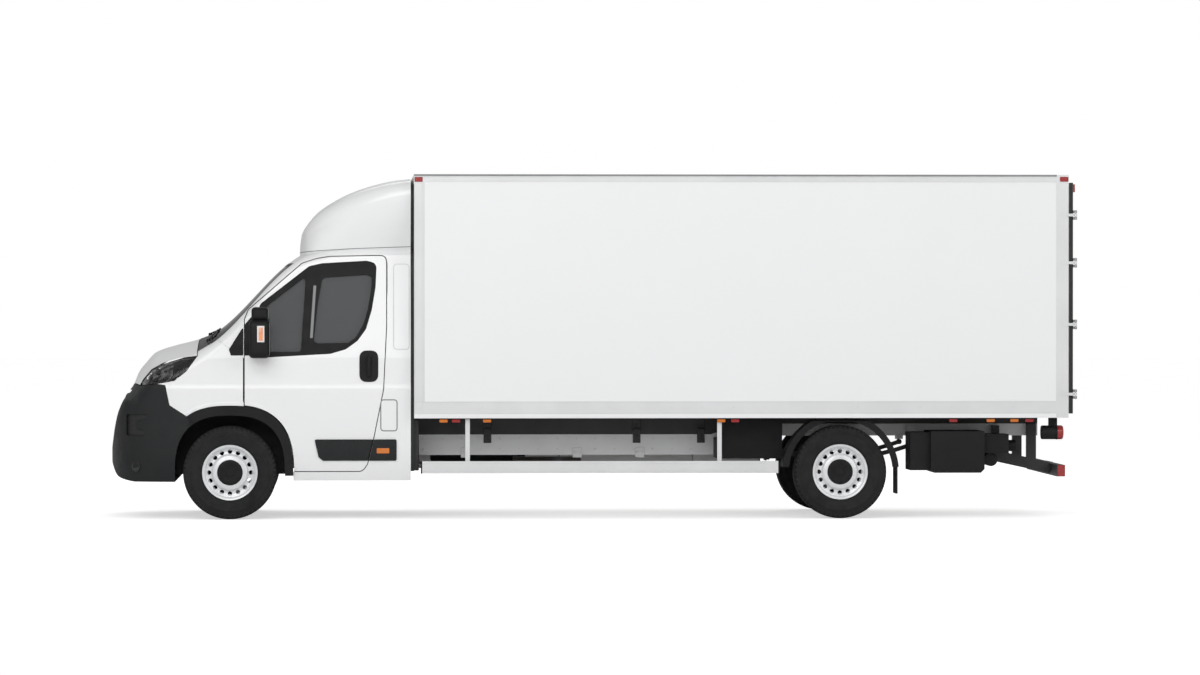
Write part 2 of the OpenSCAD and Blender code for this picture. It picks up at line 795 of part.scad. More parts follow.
module box_bearers() {
    end_y = panel_in - 6;
    color("black") for (x = bearer_xs)
        block([x, -end_y, bearer_z0], [x + bearer_l, end_y, floor_z0]);
}

arm_z = 215;
arm_t = 26;
upright_z = [arm_z + arm_t + 8, 515];
strut_z = [upright_z[1] + 10, 620];

// Cross member with the lower arms, and the struts in their towers
module front_axle() {
    eye = 27;
    color("dimgray") difference() {
        union() {
            block([front_x - 90, -420, arm_z + 25], [front_x + 90, 420, arm_z + 115]);
            both_sides() {
                block([front_x - 40, -frame_half, arm_z + 100], [front_x + 40, -frame_half + rail_w, rail_z]);
                block([front_x - 45, -pivot_y + 20, arm_z], [front_x + 45, -380, arm_z + arm_t]);
                bar_z([front_x, -pivot_y, arm_z], eye, arm_t);
                bar_z([front_x, -pivot_y, strut_z[0]], eye - 2, strut_z[1] - strut_z[0] + 25);
                block([front_x - 60, -560, rail_z + 40], [front_x + 60, -frame_half, strut_z[1] + 25]);
                block([front_x - 60, -pivot_y + 12, strut_z[1]], [front_x + 60, -frame_half,
                    strut_z[1] + 25]);
            }
        }
        both_sides() {
            bar_z([front_x, -pivot_y, arm_z - 5], pivot_r + running_gap, arm_t + 10);
            bar_z([front_x, -pivot_y, strut_z[0] - 5], pivot_r + running_gap, 60);
        }
    }
}

module engine_block() {
    rail_room = 120;
    half = frame_half - rail_room;
    color("gray") block([front_x - 600, -half, rail_z - 30], [front_x - 215, half, 1010]);
}

axle_r = 42;
pad_z = tyre_r + 75;

module rear_axle() {
    color("dimgray") both_sides() {
        bar_y([rear_x, -wheel_y + 90, tyre_r], axle_r, wheel_y - 90);
        bar_y([rear_x, -wheel_y - 70, tyre_r], spindle_r, 180);
        bar_y([rear_x, -wheel_y + 85, tyre_r], 150, 20);
        block([rear_x - 60, -spring_y - 30, tyre_r], [rear_x + 60, -spring_y + 30, pad_z]);
    }
}

// Arched leaf spring of even thickness, with an eye at each end
module leaf_springs() {
    leaf_h = 34;
    steps = 12;
    low = [for (i = [-steps:steps]) let (u = i / steps)
        [rear_x + u * spring_l, pad_z + (spring_eye_z - pad_z - leaf_h / 2) * u * u]];
    color("black") both_sides() {
        across(-spring_y - 30, -spring_y + 30) polygon(concat(low,
            [for (i = [len(low) - 1:-1:0]) low[i] + [0, leaf_h]]));
        for (x = [rear_x - spring_l, rear_x + spring_l])
            bar_y([x, -spring_y - 30, spring_eye_z], eye_r, 60);
    }
}

module fuel_tank() {
    tank_l = 780;
    tank_w = 330;
    corner_r = 40;
    low = rail_z - 60;
    color("black") translate([cab_back_x + 180, frame_half + seam, 0])
        across(0, tank_w) polygon(concat(arc([corner_r, low], corner_r, 180, 270, 6),
            arc([tank_l - corner_r, low], corner_r, 270, 360, 6),
            [[tank_l, rail_top - 10], [0, rail_top - 10]]));
}

module exhaust() {
    pipe_y = 250;
    pipe_z = 400;
    pipe_r = 28;
    muffler_r = 62;
    x0 = front_x - 215 + seam;
    color("gray") {
        bar_x([x0, pipe_y, rail_z - 5], pipe_r - 4, 60);
        bar_z([x0 + 60, pipe_y, pipe_z], pipe_r, rail_z - pipe_z);
        bar_x([x0 + 60, pipe_y, pipe_z], pipe_r, 4000);
        bar_x([front_x + 2300, pipe_y, pipe_z + 5], muffler_r, 560);
        for (i = [1:4]) bar_z([cross_xs[i] + cross_l / 2, pipe_y, pipe_z], 8,
            rail_z + rail_t - seam - pipe_z);
    }
}

// ---- under the box ----

module side_guards() {
    guard_z = [368, 466];
    x0 = box_x0 + 58;
    x1 = rear_x - 498;
    post_l = 36;
    guard_y = box_half - 60;
    color("silver") both_sides() {
        block([x0, -guard_y - 25, guard_z[0]], [x1, -guard_y, guard_z[1]]);
        for (x = guard_post_xs) block([x, -guard_y, guard_z[0] + 10], [x + post_l, -guard_y + 22,
            bearer_z0]);
    }
}

module rear_mudguards() {
    out_r = 470;
    shell_t = 8;
    top_z = 787;
    y0 = -wheel_y - 125;
    y1 = -wheel_y + 130;
    lip = 52;
    flat_half = sqrt(pow(out_r, 2) - pow(top_z - tyre_r, 2));
    color("black") both_sides() {
        difference() {
            bar_y([rear_x, y0, tyre_r], out_r, y1 - y0);
            bar_y([rear_x, y0 + 6, tyre_r], out_r - shell_t, y1 - y0);
            bar_y([rear_x, y0 - 1, tyre_r], out_r - lip, y1 - y0);
            block([rear_x - 500, y0 - 1, -200], [rear_x + 500, y1 + 1, tyre_r + 40]);
            block([rear_x - 500, y0 - 1, top_z], [rear_x + 500, y1 + 1, 1000]);
        }
        block([rear_x - flat_half, y0, top_z - shell_t], [rear_x + flat_half, y1, top_z]);
        for (x = [rear_x - 190, rear_x + 130]) block([x, y0 + 40, top_z - 1], [x + bearer_l, y1 - 40,
            bearer_z0]);
        block([rear_x + out_r - 25, y0 + 10, 200], [rear_x + out_r - 10, y1 - 10, tyre_r + 60]);
    }
}

// Stowage box, battery box and pump behind the rear wheel, and a locker ahead of it with a side panel
module tool_box() {
    y0 = -1000;
    y1 = -frame_half - seam;
    chamfer = 30;
    main = [rear_x + 730, rear_x + 1164, 366, 700];
    color("black") {
        across(y0, y1) polygon([[main[0] + chamfer, main[2]], [main[1] - chamfer, main[2]],
            [main[1], main[2] + chamfer], [main[1], main[3]], [main[0], main[3]],
            [main[0], main[2] + chamfer]]);
        block([main[0] - 160, y0 + 60, 385], [main[0], y1 - 100, 690]);
        block([main[1], y0 + 80, 522], [main[1] + 205, y1 - 150, 675]);
        bar_x([main[1] + 200, y0 + 200, 580], 46, 72);
        bar_y([main[1] + 65, y0 + 120, 470], 54, 220);
        block([main[1] + 40, y0 + 160, 470], [main[1] + 90, y0 + 300, 530]);
        block([kick_x0 + 20, -760, 480], [kick_x0 + 330, y1, 640]);
        block([kick_x0 + 37, -772, 476], [kick_x0 + 555, -760, bearer_z0]);
    }
}

bar_x0 = rear_x + 1750;

module underrun_bar() {
    y = frame_half + seam;
    t = 60;
    color("black") {
        both_sides() {
            block([rail_end_x - 95, -y - t, 430], [rail_end_x - 18, -y, rear_rail_top]);
            across(-y - t, -y) polygon([[bar_x0 - 470, 450], [bar_x0 - 470, 540], [bar_x0 + 1, 436],
                [bar_x0 + 1, 346]]);
            block([bar_x0 - 470, -y - t, 480], [bar_x0 - 410, -y, rear_rail_top - 15]);
        }
        block([bar_x0, -box_half + 110, 335], [bar_x0 + 64, box_half - 110, 428]);
    }
}

module tail_lamps() {
    lamp_r = 58;
    x0 = box_x1 - 205;
    color("darkred") both_sides() {
        bar_x([x0, -box_half + 140, 690], lamp_r, 180);
        block([x0 + 60, -box_half + 125, 700], [x0 + 130, -box_half + 155, box_bottom_z]);
    }
}

// ---- knuckles and wheels ----

// Steering knuckle: upright with its two pivot pins, back plate, spindle and steering arm
module knuckle(right) {
    plate_r = 145;
    inner_y = -pivot_y + 16;
    color("dimgray") side(right) {
        block([front_x - 30, -pivot_y - 16, upright_z[0]], [front_x + 30, inner_y, upright_z[1]]);
        bar_z([front_x, -pivot_y, arm_z + 2], pivot_r, upright_z[0] - arm_z);
        bar_z([front_x, -pivot_y, upright_z[1] - 1], pivot_r, 50);
        bar_y([front_x, -wheel_y + 78, tyre_r], 46, 60);
        bar_y([front_x, -wheel_y + 84, tyre_r], plate_r, 12);
        bar_y([front_x, -wheel_y - 70, tyre_r], spindle_r, 170);
        block([front_x + 20, inner_y - 20, tyre_r - 40], [front_x + 150, inner_y + 14, tyre_r - 12]);
    }
}

// Turns a profile of (radius, outward offset) round the axle of a wheel at x on the left
module on_wheel(x, right) {
    side(right) translate([x, -wheel_y, tyre_r]) rotate([90, 0, 0]) children();
}

tread_half = tyre_w / 2 - 22;

module tyre(x, right) {
    seat = rim_d / 2 + seam;
    half = tyre_w / 2;
    profile = [[seat, 80], [seat + 19, 80], [seat + 22, 93], [seat + 48, half - 6],
        [seat + 80, half], [seat + 115, half - 2], [tyre_r - 22, half - 9], [tyre_r - 7, half - 16],
        [tyre_r, tread_half - 8]];
    n = len(profile);
    color("black") on_wheel(x, right) rotate_extrude($fn = 96)
        polygon(concat(profile, [for (i = [n - 1:-1:0]) [profile[i][0], -profile[i][1]]]));
}

// Steel rim with its hub, vent holes and hub cap
module rim(x, right) {
    seat = rim_d / 2;
    vents = 16;
    vent_r = 15;
    color("silver") on_wheel(x, right) difference() {
        rotate_extrude($fn = 96) {
            polygon([[seat - 6, -88], [seat + 18, -88], [seat + 18, -81], [seat, -81], [seat, -45],
                [seat - 22, -30], [seat - 22, 15], [seat, 40], [seat, 81], [seat + 18, 81],
                [seat + 18, 88], [seat - 6, 88], [seat - 6, 44], [seat - 28, 20], [seat - 28, -34],
                [seat - 6, -49]]);
            polygon([[seat - 5, 50], [seat - 30, 40], [seat - 52, 44], [seat - 66, 66], [100, 72],
                [98, 82], [spindle_r + running_gap, 82], [spindle_r + running_gap, -55], [60, -55],
                [60, 56], [seat - 80, 54], [seat - 60, 32], [seat - 30, 28], [seat - 6, 34]]);
        }
        for (i = [0:vents - 1]) rotate([0, 0, 360 * i / vents])
            translate([seat - 34, 0, 0]) cylinder(h = 100, r = vent_r, $fn = 24);
    }
}

// ---- nodes ----

chassis_frame();
box_subframe();
box_bearers();
front_axle();
engine_block();
rear_axle();
leaf_springs();
fuel_tank();
exhaust();
cab_floor();
cab_side(false);  // cab_side_left
cab_side(true);  // cab_side_right
cab_roof();
cab_back_panel();
front_fenders();
front_bumper();
headlights();
windscreen();
roof_fairing();
wheel_arch_liners();
dashboard();
steering_wheel();
driver_seat();
passenger_bench();
box_floor();
box_front_wall();
box_side(false);  // box_side_left
box_side(true);  // box_side_right
box_roof();
box_profiles();
box_rear_frame();
side_guards();
rear_mudguards();
tool_box();
underrun_bar();
tail_lamps();
hood();
door(false);  // door_left
door(true);  // door_right
door_glass(false);  // door_glass_left
door_glass(true);  // door_glass_right
door_mirror(false);  // mirror_left
door_mirror(true);  // mirror_right
rear_door(false);  // rear_door_left
rear_door(true);  // rear_door_right
knuckle(false);  // knuckle_left
knuckle(true);  // knuckle_right
tyre(front_x, false);  // tyre_front_left
tyre(front_x, true);  // tyre_front_right
tyre(rear_x, false);  // tyre_rear_left
tyre(rear_x, true);  // tyre_rear_right
rim(front_x, false);  // rim_front_left
rim(front_x, true);  // rim_front_right
rim(rear_x, false);  // rim_rear_left
rim(rear_x, true);  // rim_rear_right
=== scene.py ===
"""Looks of the box van: smooth body panels, trim, lamps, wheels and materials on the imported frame."""

import json
import math

import bmesh
import bpy
from mathutils import Matrix, Vector


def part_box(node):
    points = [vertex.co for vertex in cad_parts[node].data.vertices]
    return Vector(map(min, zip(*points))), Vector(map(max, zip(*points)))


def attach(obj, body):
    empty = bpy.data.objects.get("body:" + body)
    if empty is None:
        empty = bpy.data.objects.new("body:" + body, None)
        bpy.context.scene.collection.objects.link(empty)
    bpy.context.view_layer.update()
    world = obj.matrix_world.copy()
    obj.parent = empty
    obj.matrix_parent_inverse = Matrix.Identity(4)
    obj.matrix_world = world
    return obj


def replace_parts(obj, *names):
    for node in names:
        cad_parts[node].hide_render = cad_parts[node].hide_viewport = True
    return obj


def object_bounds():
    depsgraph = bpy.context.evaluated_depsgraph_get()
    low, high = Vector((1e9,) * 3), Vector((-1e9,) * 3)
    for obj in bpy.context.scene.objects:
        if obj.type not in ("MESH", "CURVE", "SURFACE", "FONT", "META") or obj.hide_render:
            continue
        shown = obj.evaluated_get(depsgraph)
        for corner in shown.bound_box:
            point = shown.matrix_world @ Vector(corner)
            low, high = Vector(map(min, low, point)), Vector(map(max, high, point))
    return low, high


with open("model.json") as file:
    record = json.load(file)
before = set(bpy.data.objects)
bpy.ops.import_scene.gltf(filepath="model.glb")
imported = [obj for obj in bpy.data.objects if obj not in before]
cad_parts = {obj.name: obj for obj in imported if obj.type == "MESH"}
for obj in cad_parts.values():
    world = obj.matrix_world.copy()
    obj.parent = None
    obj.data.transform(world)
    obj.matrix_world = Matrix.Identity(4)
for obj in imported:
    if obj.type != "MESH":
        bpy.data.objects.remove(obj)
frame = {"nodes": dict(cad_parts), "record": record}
cad_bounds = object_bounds()
nodes = frame["nodes"]
MM = 0.001

# ---------------------------------------------------------------- places taken from the frame

tyre_low, tyre_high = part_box("tyre_front_left")
rear_tyre_low, rear_tyre_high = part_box("tyre_rear_left")
NOSE_X = cad_bounds[0][0]
FRONT_X = (tyre_low[0] + tyre_high[0]) / 2
REAR_X = (rear_tyre_low[0] + rear_tyre_high[0]) / 2
TYRE_R = (tyre_high[2] - tyre_low[2]) / 2
WHEEL_Y = -(tyre_low[1] + tyre_high[1]) / 2
CAB_BACK_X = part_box("roof_fairing")[1][0]
CAB_HALF = -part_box("door_left")[0][1]
BOX_X0, BOX_X1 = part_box("box_profiles")[0][0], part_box("box_rear_frame")[0][0]
BOX_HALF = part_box("box_profiles")[1][1]
BOX_LOW, BOX_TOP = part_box("box_profiles")[0][2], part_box("box_profiles")[1][2]


# ---------------------------------------------------------------- materials

def node_material(name):
    """A new material with its node tree, output and Principled shader."""
    mat = bpy.data.materials.new(name)
    mat.use_nodes = True
    tree = mat.node_tree
    tree.nodes.clear()
    out = tree.nodes.new("ShaderNodeOutputMaterial")
    shader = tree.nodes.new("ShaderNodeBsdfPrincipled")
    tree.links.new(shader.outputs["BSDF"], out.inputs["Surface"])
    return mat, tree, shader


def add_node(tree, kind, values=None, feeds=None):
    """A shader node with some sockets set, and others fed by other nodes' outputs."""
    made = tree.nodes.new("ShaderNode" + kind)
    for socket, value in (values or {}).items():
        made.inputs[socket].default_value = value
    for socket, source in (feeds or {}).items():
        tree.links.new(source, made.inputs[socket])
    return made


def noise(tree, scale, detail=4.0, rough=0.55, stretch=(1, 1, 1)):
    """Noise in the object's own coordinates, stretched along an axis if asked."""
    coords = add_node(tree, "TexCoord")
    mapping = add_node(tree, "Mapping", {"Scale": stretch}, {"Vector": coords.outputs["Object"]})
    return add_node(tree, "TexNoise", {"Scale": scale, "Detail": detail, "Roughness": rough},
        {"Vector": mapping.outputs["Vector"]}).outputs["Fac"]


def spread(tree, value, low, high):
    """Maps a noise value onto a range."""
    return add_node(tree, "MapRange", {"From Min": 0.3, "From Max": 0.7, "To Min": low, "To Max": high},
        {"Value": value}).outputs["Result"]


def two_tone(tree, value, dark, light):
    """Colour between two tones, by a noise value."""
    ramp = add_node(tree, "ValToRGB", feeds={"Fac": value})
    for stop, position, colour in zip(ramp.color_ramp.elements, (0.35, 0.65), (dark, light)):
        stop.position = position
        stop.color = (*colour, 1)
    return ramp.outputs["Color"]


def bumped(tree, shader, height, strength, depth):
    """Feeds a height into the shader's normal as a bump."""
    bump = add_node(tree, "Bump", {"Strength": strength, "Distance": depth}, {"Height": height})
    tree.links.new(bump.outputs["Normal"], shader.inputs["Normal"])


def surface(name, colour, rough, vary=0.04, metal=0.0, grain=900.0, bump=0.02, depth=0.0003, coat=0.0,
        transmission=0.0, stretch=(1, 1, 1), ior=1.5, blotch=2.5, uneven=0.15, specular=0.5, alpha=1.0):
    """A finished material: blotchy tone, uneven roughness and a fine bump."""
    mat, tree, shader = node_material(name)
    dark, light = (tuple(min(1.0, c * level) for c in colour) for level in (1 - vary, 1 + vary))
    patch = noise(tree, blotch * 4, 4.0, 0.6)
    tree.links.new(two_tone(tree, noise(tree, blotch, 5.0, 0.6), dark, light), shader.inputs["Base Color"])
    tree.links.new(spread(tree, patch, max(0.02, rough * (1 - uneven)), min(1.0, rough * (1 + uneven))),
        shader.inputs["Roughness"])
    bumped(tree, shader, noise(tree, grain, 3.0, 0.6, stretch), bump, depth)
    for socket, value in (("Metallic", metal), ("IOR", ior), ("Coat Weight", coat),
            ("Coat Roughness", 0.05), ("Transmission Weight", transmission),
            ("Specular IOR Level", specular), ("Alpha", alpha)):
        shader.inputs[socket].default_value = value
    return mat


FINISHES = {
    "white_paint": dict(colour=(0.82, 0.825, 0.83), rough=0.32, vary=0.004, coat=0.4, grain=600,
         bump=0.006, uneven=0.03, blotch=1.2),  "box_panel": dict(colour=(0.81, 0.815, 0.82), rough=0.45,
         vary=0.004, coat=0.1, grain=160, bump=0.012, depth=0.0004, uneven=0.04, blotch=0.8),
          "anodised": dict(colour=(0.68, 0.685, 0.69), rough=0.42, vary=0.03, metal=0.2, grain=500,
         bump=0.10, stretch=(0.02, 1, 1)),  "black_plastic": dict(colour=(0.008, 0.008, 0.009),
         rough=0.58, vary=0.12, specular=0.22, grain=1400, bump=0.35, depth=0.0004),
          "grey_plastic": dict(colour=(0.015, 0.016, 0.017), rough=0.62, vary=0.10, specular=0.25,
         grain=1100, bump=0.45, depth=0.0005),  "gloss_black": dict(colour=(0.012, 0.012, 0.014),
         rough=0.12, vary=0.1, coat=0.5, grain=300, bump=0.02),  "glass_dark": dict(colour=(0.105, 0.11,
         0.115), rough=0.03, vary=0.03, transmission=0.5, ior=1.25, grain=60, bump=0.01),
          "glass_front": dict(colour=(0.03, 0.032, 0.035), rough=0.04, vary=0.05, transmission=0.6,
         ior=1.04, grain=60, bump=0.004, specular=0.02),  "lamp_clear": dict(colour=(0.10, 0.10, 0.105),
         rough=0.04, vary=0.01, grain=60, bump=0.002, alpha=0.09),  "lamp_inner": dict(colour=(0.62,
         0.625, 0.63), rough=0.35, vary=0.04, metal=0.1, grain=300, bump=0.03),
          "blinker": dict(colour=(0.80, 0.30, 0.14), rough=0.20, vary=0.10, coat=0.5, grain=300,
         bump=0.15, blotch=30),  "seal_grey": dict(colour=(0.22, 0.225, 0.23), rough=0.5, vary=0.08,
         grain=700, bump=0.15),  "plate_blank": dict(colour=(0.72, 0.72, 0.70), rough=0.35, vary=0.02,
         grain=300, bump=0.05),  "chrome": dict(colour=(0.75, 0.76, 0.78), rough=0.12, vary=0.04,
         metal=1.0, grain=200, bump=0.02),  "lamp_red": dict(colour=(0.30, 0.012, 0.012), rough=0.16,
         vary=0.08, coat=0.5, grain=500, bump=0.2),  "lamp_amber": dict(colour=(0.60, 0.16, 0.015),
         rough=0.16, vary=0.08, coat=0.5, grain=500, bump=0.2),  "frame_grey": dict(colour=(0.62, 0.63,
         0.64), rough=0.45, vary=0.05, metal=0.1, grain=300, bump=0.15),
          "frame_black": dict(colour=(0.02, 0.02, 0.022), rough=0.50, vary=0.15, grain=260, bump=0.2,
         depth=0.0006),  "cast": dict(colour=(0.12, 0.12, 0.125), rough=0.65, vary=0.15, metal=0.5,
         grain=350, bump=0.5, depth=0.001),  "steel": dict(colour=(0.36, 0.36, 0.37), rough=0.42,
         vary=0.12, metal=0.85, grain=500, bump=0.15, stretch=(0.1, 1, 1)),
          "rim_silver": dict(colour=(0.74, 0.75, 0.76), rough=0.32, vary=0.04, metal=0.15, coat=0.2,
         grain=300, bump=0.05),  "tyre_rubber": dict(colour=(0.010, 0.010, 0.011), rough=0.78, vary=0.18,
         grain=700, bump=0.35, depth=0.0006, specular=0.35),  "rubber_seal": dict(colour=(0.012, 0.012,
         0.013), rough=0.65, vary=0.15, grain=900, bump=0.3),  "floor_wood": dict(colour=(0.20, 0.12,
         0.065), rough=0.55, vary=0.25, grain=60, bump=0.3, stretch=(0.05, 1, 1), blotch=6),
          "mirror_glass": dict(colour=(0.85, 0.86, 0.87), rough=0.03, vary=0.01, metal=1.0, grain=40,
         bump=0.005),  "vinyl": dict(colour=(0.10, 0.105, 0.11), rough=0.55, vary=0.1, grain=700,
         bump=0.4, depth=0.0005),
}
M = {name: surface(name, **values) for name, values in FINISHES.items()}


def fabric(name, colour):
    """Woven seat cloth: two crossed waves for the weave over a soft blotch."""
    mat, tree, shader = node_material(name)
    coords = add_node(tree, "TexCoord")
    heights = []
    for axis in ("X", "Z"):
        wave = add_node(tree, "TexWave", {"Scale": 120, "Distortion": 1.5},
            {"Vector": coords.outputs["Object"]})
        wave.bands_direction = axis
        heights.append(wave.outputs["Fac"])
    weave = add_node(tree, "Math", feeds={0: heights[0], 1: heights[1]})
    weave.operation = "MULTIPLY"
    tone = two_tone(tree, noise(tree, 30, 6, 0.7), tuple(c * 0.7 for c in colour), colour)
    tree.links.new(tone, shader.inputs["Base Color"])
    bumped(tree, shader, weave.outputs["Value"], 0.5, 0.0008)
    tree.links.new(spread(tree, heights[0], 0.8, 0.95), shader.inputs["Roughness"])
    shader.inputs["Sheen Weight"].default_value = 0.3
    return mat


M["seat_fabric"] = fabric("seat_fabric", (0.045, 0.047, 0.052))

SLOT_OF = {row["node"]: row["material_slot"] for row in frame["record"]["subparts"]}


def paint(obj, name):
    """Gives obj its one material."""
    obj.data.materials.clear()
    obj.data.materials.append(M[name])


for node_name, node_obj in nodes.items():
    node_obj.data.materials.clear()
    node_obj.data.materials.append(M[SLOT_OF[node_name]])

# ---------------------------------------------------------------- mesh helpers


def placed(name, mesh):
    """An object of that mesh, in the scene."""
    obj = bpy.data.objects.new(name, mesh)
    bpy.context.scene.collection.objects.link(obj)
    return obj


def new_object(name, verts, faces):
    """A mesh object from vertices and faces."""
    mesh = bpy.data.meshes.new(name)
    mesh.from_pydata([tuple(v) for v in verts], [], faces)
    mesh.update()
    return placed(name, mesh)


def fix_normals(obj, weld=0.0):
    """Makes a closed mesh's normals point outward, with points nearer than weld made one first."""
    bm = bmesh.new()
    bm.from_mesh(obj.data)
    if weld:
        bmesh.ops.remove_doubles(bm, verts=bm.verts, dist=weld)
    bmesh.ops.recalc_face_normals(bm, faces=bm.faces)
    bm.to_mesh(obj.data)
    bm.free()


def apply_modifiers(obj):
    """Turns obj's modifiers into plain mesh."""
    graph = bpy.context.evaluated_depsgraph_get()
    graph.update()
    mesh = bpy.data.meshes.new_from_object(obj.evaluated_get(graph), depsgraph=graph)
    obj.modifiers.clear()
    old = obj.data
    obj.data = mesh
    if old.users == 0:
        bpy.data.meshes.remove(old)


def smooth(obj, angle=35.0):
    """Smooth shading with edges kept sharp over an angle."""
    obj.data.shade_smooth()
    obj.data.set_sharp_from_angle(angle=math.radians(angle))


def boolean(obj, tool, operation, keep_tool=False):
    """Cuts or intersects obj with a tool mesh, which goes unless it is kept."""
    mod = obj.modifiers.new("cut", "BOOLEAN")
    mod.operation = operation
    mod.solver = "MANIFOLD"
    mod.object = tool
    apply_modifiers(obj)
    if not keep_tool:
        bpy.data.objects.remove(tool)


def clip(obj, tool, keep_tool=False):
    """Leaves obj only inside the tool."""
    boolean(obj, tool, "INTERSECT", keep_tool)


def carve(obj, tool):
    """Takes the tool away from obj."""
    boolean(obj, tool, "DIFFERENCE")


def bevel(obj, width, segments=2, angle=50.0):
    """Rounds obj's hard edges."""
    mod = obj.modifiers.new("bevel", "BEVEL")
    mod.width = width
    mod.segments = segments
    mod.limit_method = "ANGLE"
    mod.angle_limit = math.radians(angle)
    mod.use_clamp_overlap = True
    apply_modifiers(obj)


def join(name, parts):
    """One object from several."""
    for part in parts:
        part.select_set(False)
    with bpy.context.temp_override(active_object=parts[0], object=parts[0], selected_editable_objects=parts,
            selected_objects=parts):
        bpy.ops.object.join()
    parts[0].name = name
    return parts[0]


def mirrored(obj, name):
    """A copy of obj on the other side of the vehicle."""
    mesh = obj.data.copy()
    mesh.transform(Matrix.Scale(-1, 4, (0, 1, 0)))
    mesh.flip_normals()
    return placed(name, mesh)


def copied(obj, shift):
    """A copy of obj moved by a distance."""
    twin = obj.copy()
    twin.data = obj.data.copy()
    twin.data.transform(Matrix.Translation(shift))
    bpy.context.scene.collection.objects.link(twin)
    return twin


def turned(obj, angle, centre, axis="Y"):
    """Moves a piece made round the origin to a centre, turned about an axis."""
    obj.data.transform(Matrix.Translation(centre) @ Matrix.Rotation(angle, 4, axis))
    return obj


def extrude(name, outline, axis, low, high):
    """A closed prism: a 2D outline made solid along an axis from low to high.

    The outline is (x, z) for axis y, (y, z) for axis x and (x, y) for axis z."""
    def place(p, h):
        return {"y": (p[0], h, p[1]), "x": (h, p[0], p[1]), "z": (p[0], p[1], h)}[axis]
    n = len(outline)
    verts = [place(p, low) for p in outline] + [place(p, high) for p in outline]
    faces = [tuple(range(n))[::-1], tuple(range(n, 2 * n))]
    faces += [(i, (i + 1) % n, n + (i + 1) % n, n + i) for i in range(n)]
    obj = new_object(name, verts, faces)
    fix_normals(obj)
    return obj


def rounded_rect(x0, z0, x1, z1, r, steps=6):
    """Outline of a rectangle with round corners."""
    points = []
    for cx, cz, start in ((x1 - r, z1 - r, 0), (x0 + r, z1 - r, 90), (x0 + r, z0 + r, 180),
            (x1 - r, z0 + r, 270)):
        for i in range(steps + 1):
            a = math.radians(start + 90 * i / steps)
            points.append((cx + r * math.cos(a), cz + r * math.sin(a)))
    return points


def circle(x, z, r, count=24):
    """Outline of a circle."""
    return [(x + r * math.cos(2 * math.pi * k / count), z + r * math.sin(2 * math.pi * k / count)) for k in
        range(count)]


def block(name, low, high, round_by=0.003, segments=2):
    """A bevelled block between two corners."""
    obj = extrude(name, [(low[0], low[2]), (high[0], low[2]), (high[0], high[2]), (low[0], high[2])], "y",
        low[1], high[1])
    if round_by:
        bevel(obj, min(round_by, 0.45 * min(high[i] - low[i] for i in range(3))), segments)
    smooth(obj)
    return obj


def lathe(name, profile, centre, axis="y", segments=64, outward=1):
    """A closed profile of (radius, offset) turned round an axis through centre."""
    verts, faces = [], []
    n = len(profile)
    for k in range(segments):
        a = 2 * math.pi * k / segments
        for r, h in profile:
            c, s, h2 = r * math.cos(a), r * math.sin(a), h * outward
            verts.append({"y": (centre[0] + c, centre[1] + h2, centre[2] + s), "x":
                (centre[0] + h2, centre[1] + c, centre[2] + s), "z":
                (centre[0] + c, centre[1] + s, centre[2] + h2)}[axis])
    for k in range(segments):
        for i in range(n):
            j = (i + 1) % n
            k2 = (k + 1) % segments
            faces.append((k * n + i, k * n + j, k2 * n + j, k2 * n + i))
    obj = new_object(name, verts, faces)
    fix_normals(obj, 1e-6)
    smooth(obj, 30)
    return obj


def bolt(name, p, r, height, axis, sides=6):
    """A bolt head standing out from p along an axis, with a chamfered top."""
    sign = -1 if axis.startswith("-") else 1
    return lathe(name, [(0, 0), (r, 0), (r, height * 0.7), (r * 0.8, height), (0, height)], p, axis[-1],
        sides, sign)


def sweep(name, path, radius, sides=12):
    """A round bar along a path, closed at both ends."""
    verts, faces = [], []
    points = [Vector(p) for p in path]
    side = None
    for i, p in enumerate(points):
        ahead = points[min(i + 1, len(points) - 1)] - points[max(i - 1, 0)]
        ahead.normalize()
        if side is None:
            side = ahead.cross(Vector((0, 0, 1)))
            if side.length < 0.1:
                side = ahead.cross(Vector((0, 1, 0)))
        side = (side - ahead * side.dot(ahead)).normalized()
        up = ahead.cross(side)
        for k in range(sides):
            a = 2 * math.pi * k / sides
            verts.append(p + radius * (side * math.cos(a) + up * math.sin(a)))
    for i in range(len(points) - 1):
        for k in range(sides):
            k2 = (k + 1) % sides
            faces.append((i * sides + k, i * sides + k2, (i + 1) * sides + k2, (i + 1) * sides + k))
    faces.append(tuple(range(sides))[::-1])
    last = (len(points) - 1) * sides
    faces.append(tuple(last + k for k in range(sides)))
    obj = new_object(name, verts, faces)
    fix_normals(obj)
    smooth(obj, 40)
    return obj

# ---------------------------------------------------------------- the cab's outer shape, in millimetres

CREASE_Z, BELT_Z, SILL_Z = 1060, 1300, 310
HALF_MM = CAB_HALF / MM
BACK_U = (CAB_BACK_X - FRONT_X) / MM
TYRE_MM = TYRE_R / MM
NOSE_U = (NOSE_X - FRONT_X) / MM
FIREWALL_U, COWL_U, COWL_HALF = -150, -258, 880
DOOR_T, SKIN_T, ROOF_T, GLASS_T = 70, 25, 40, 6
CREASE_STEP = 5
CAB_SHARP, SCREEN_TOP_U = 32, 560
# Cutting depths across the left side, for the doors, the pillars and the headlights
LEFT, PILLAR_SIDE, LAMP_SIDE = (-1100, -600), (-1100, -700), (-1100, -520)
SIDES = (("left", -1), ("right", 1))

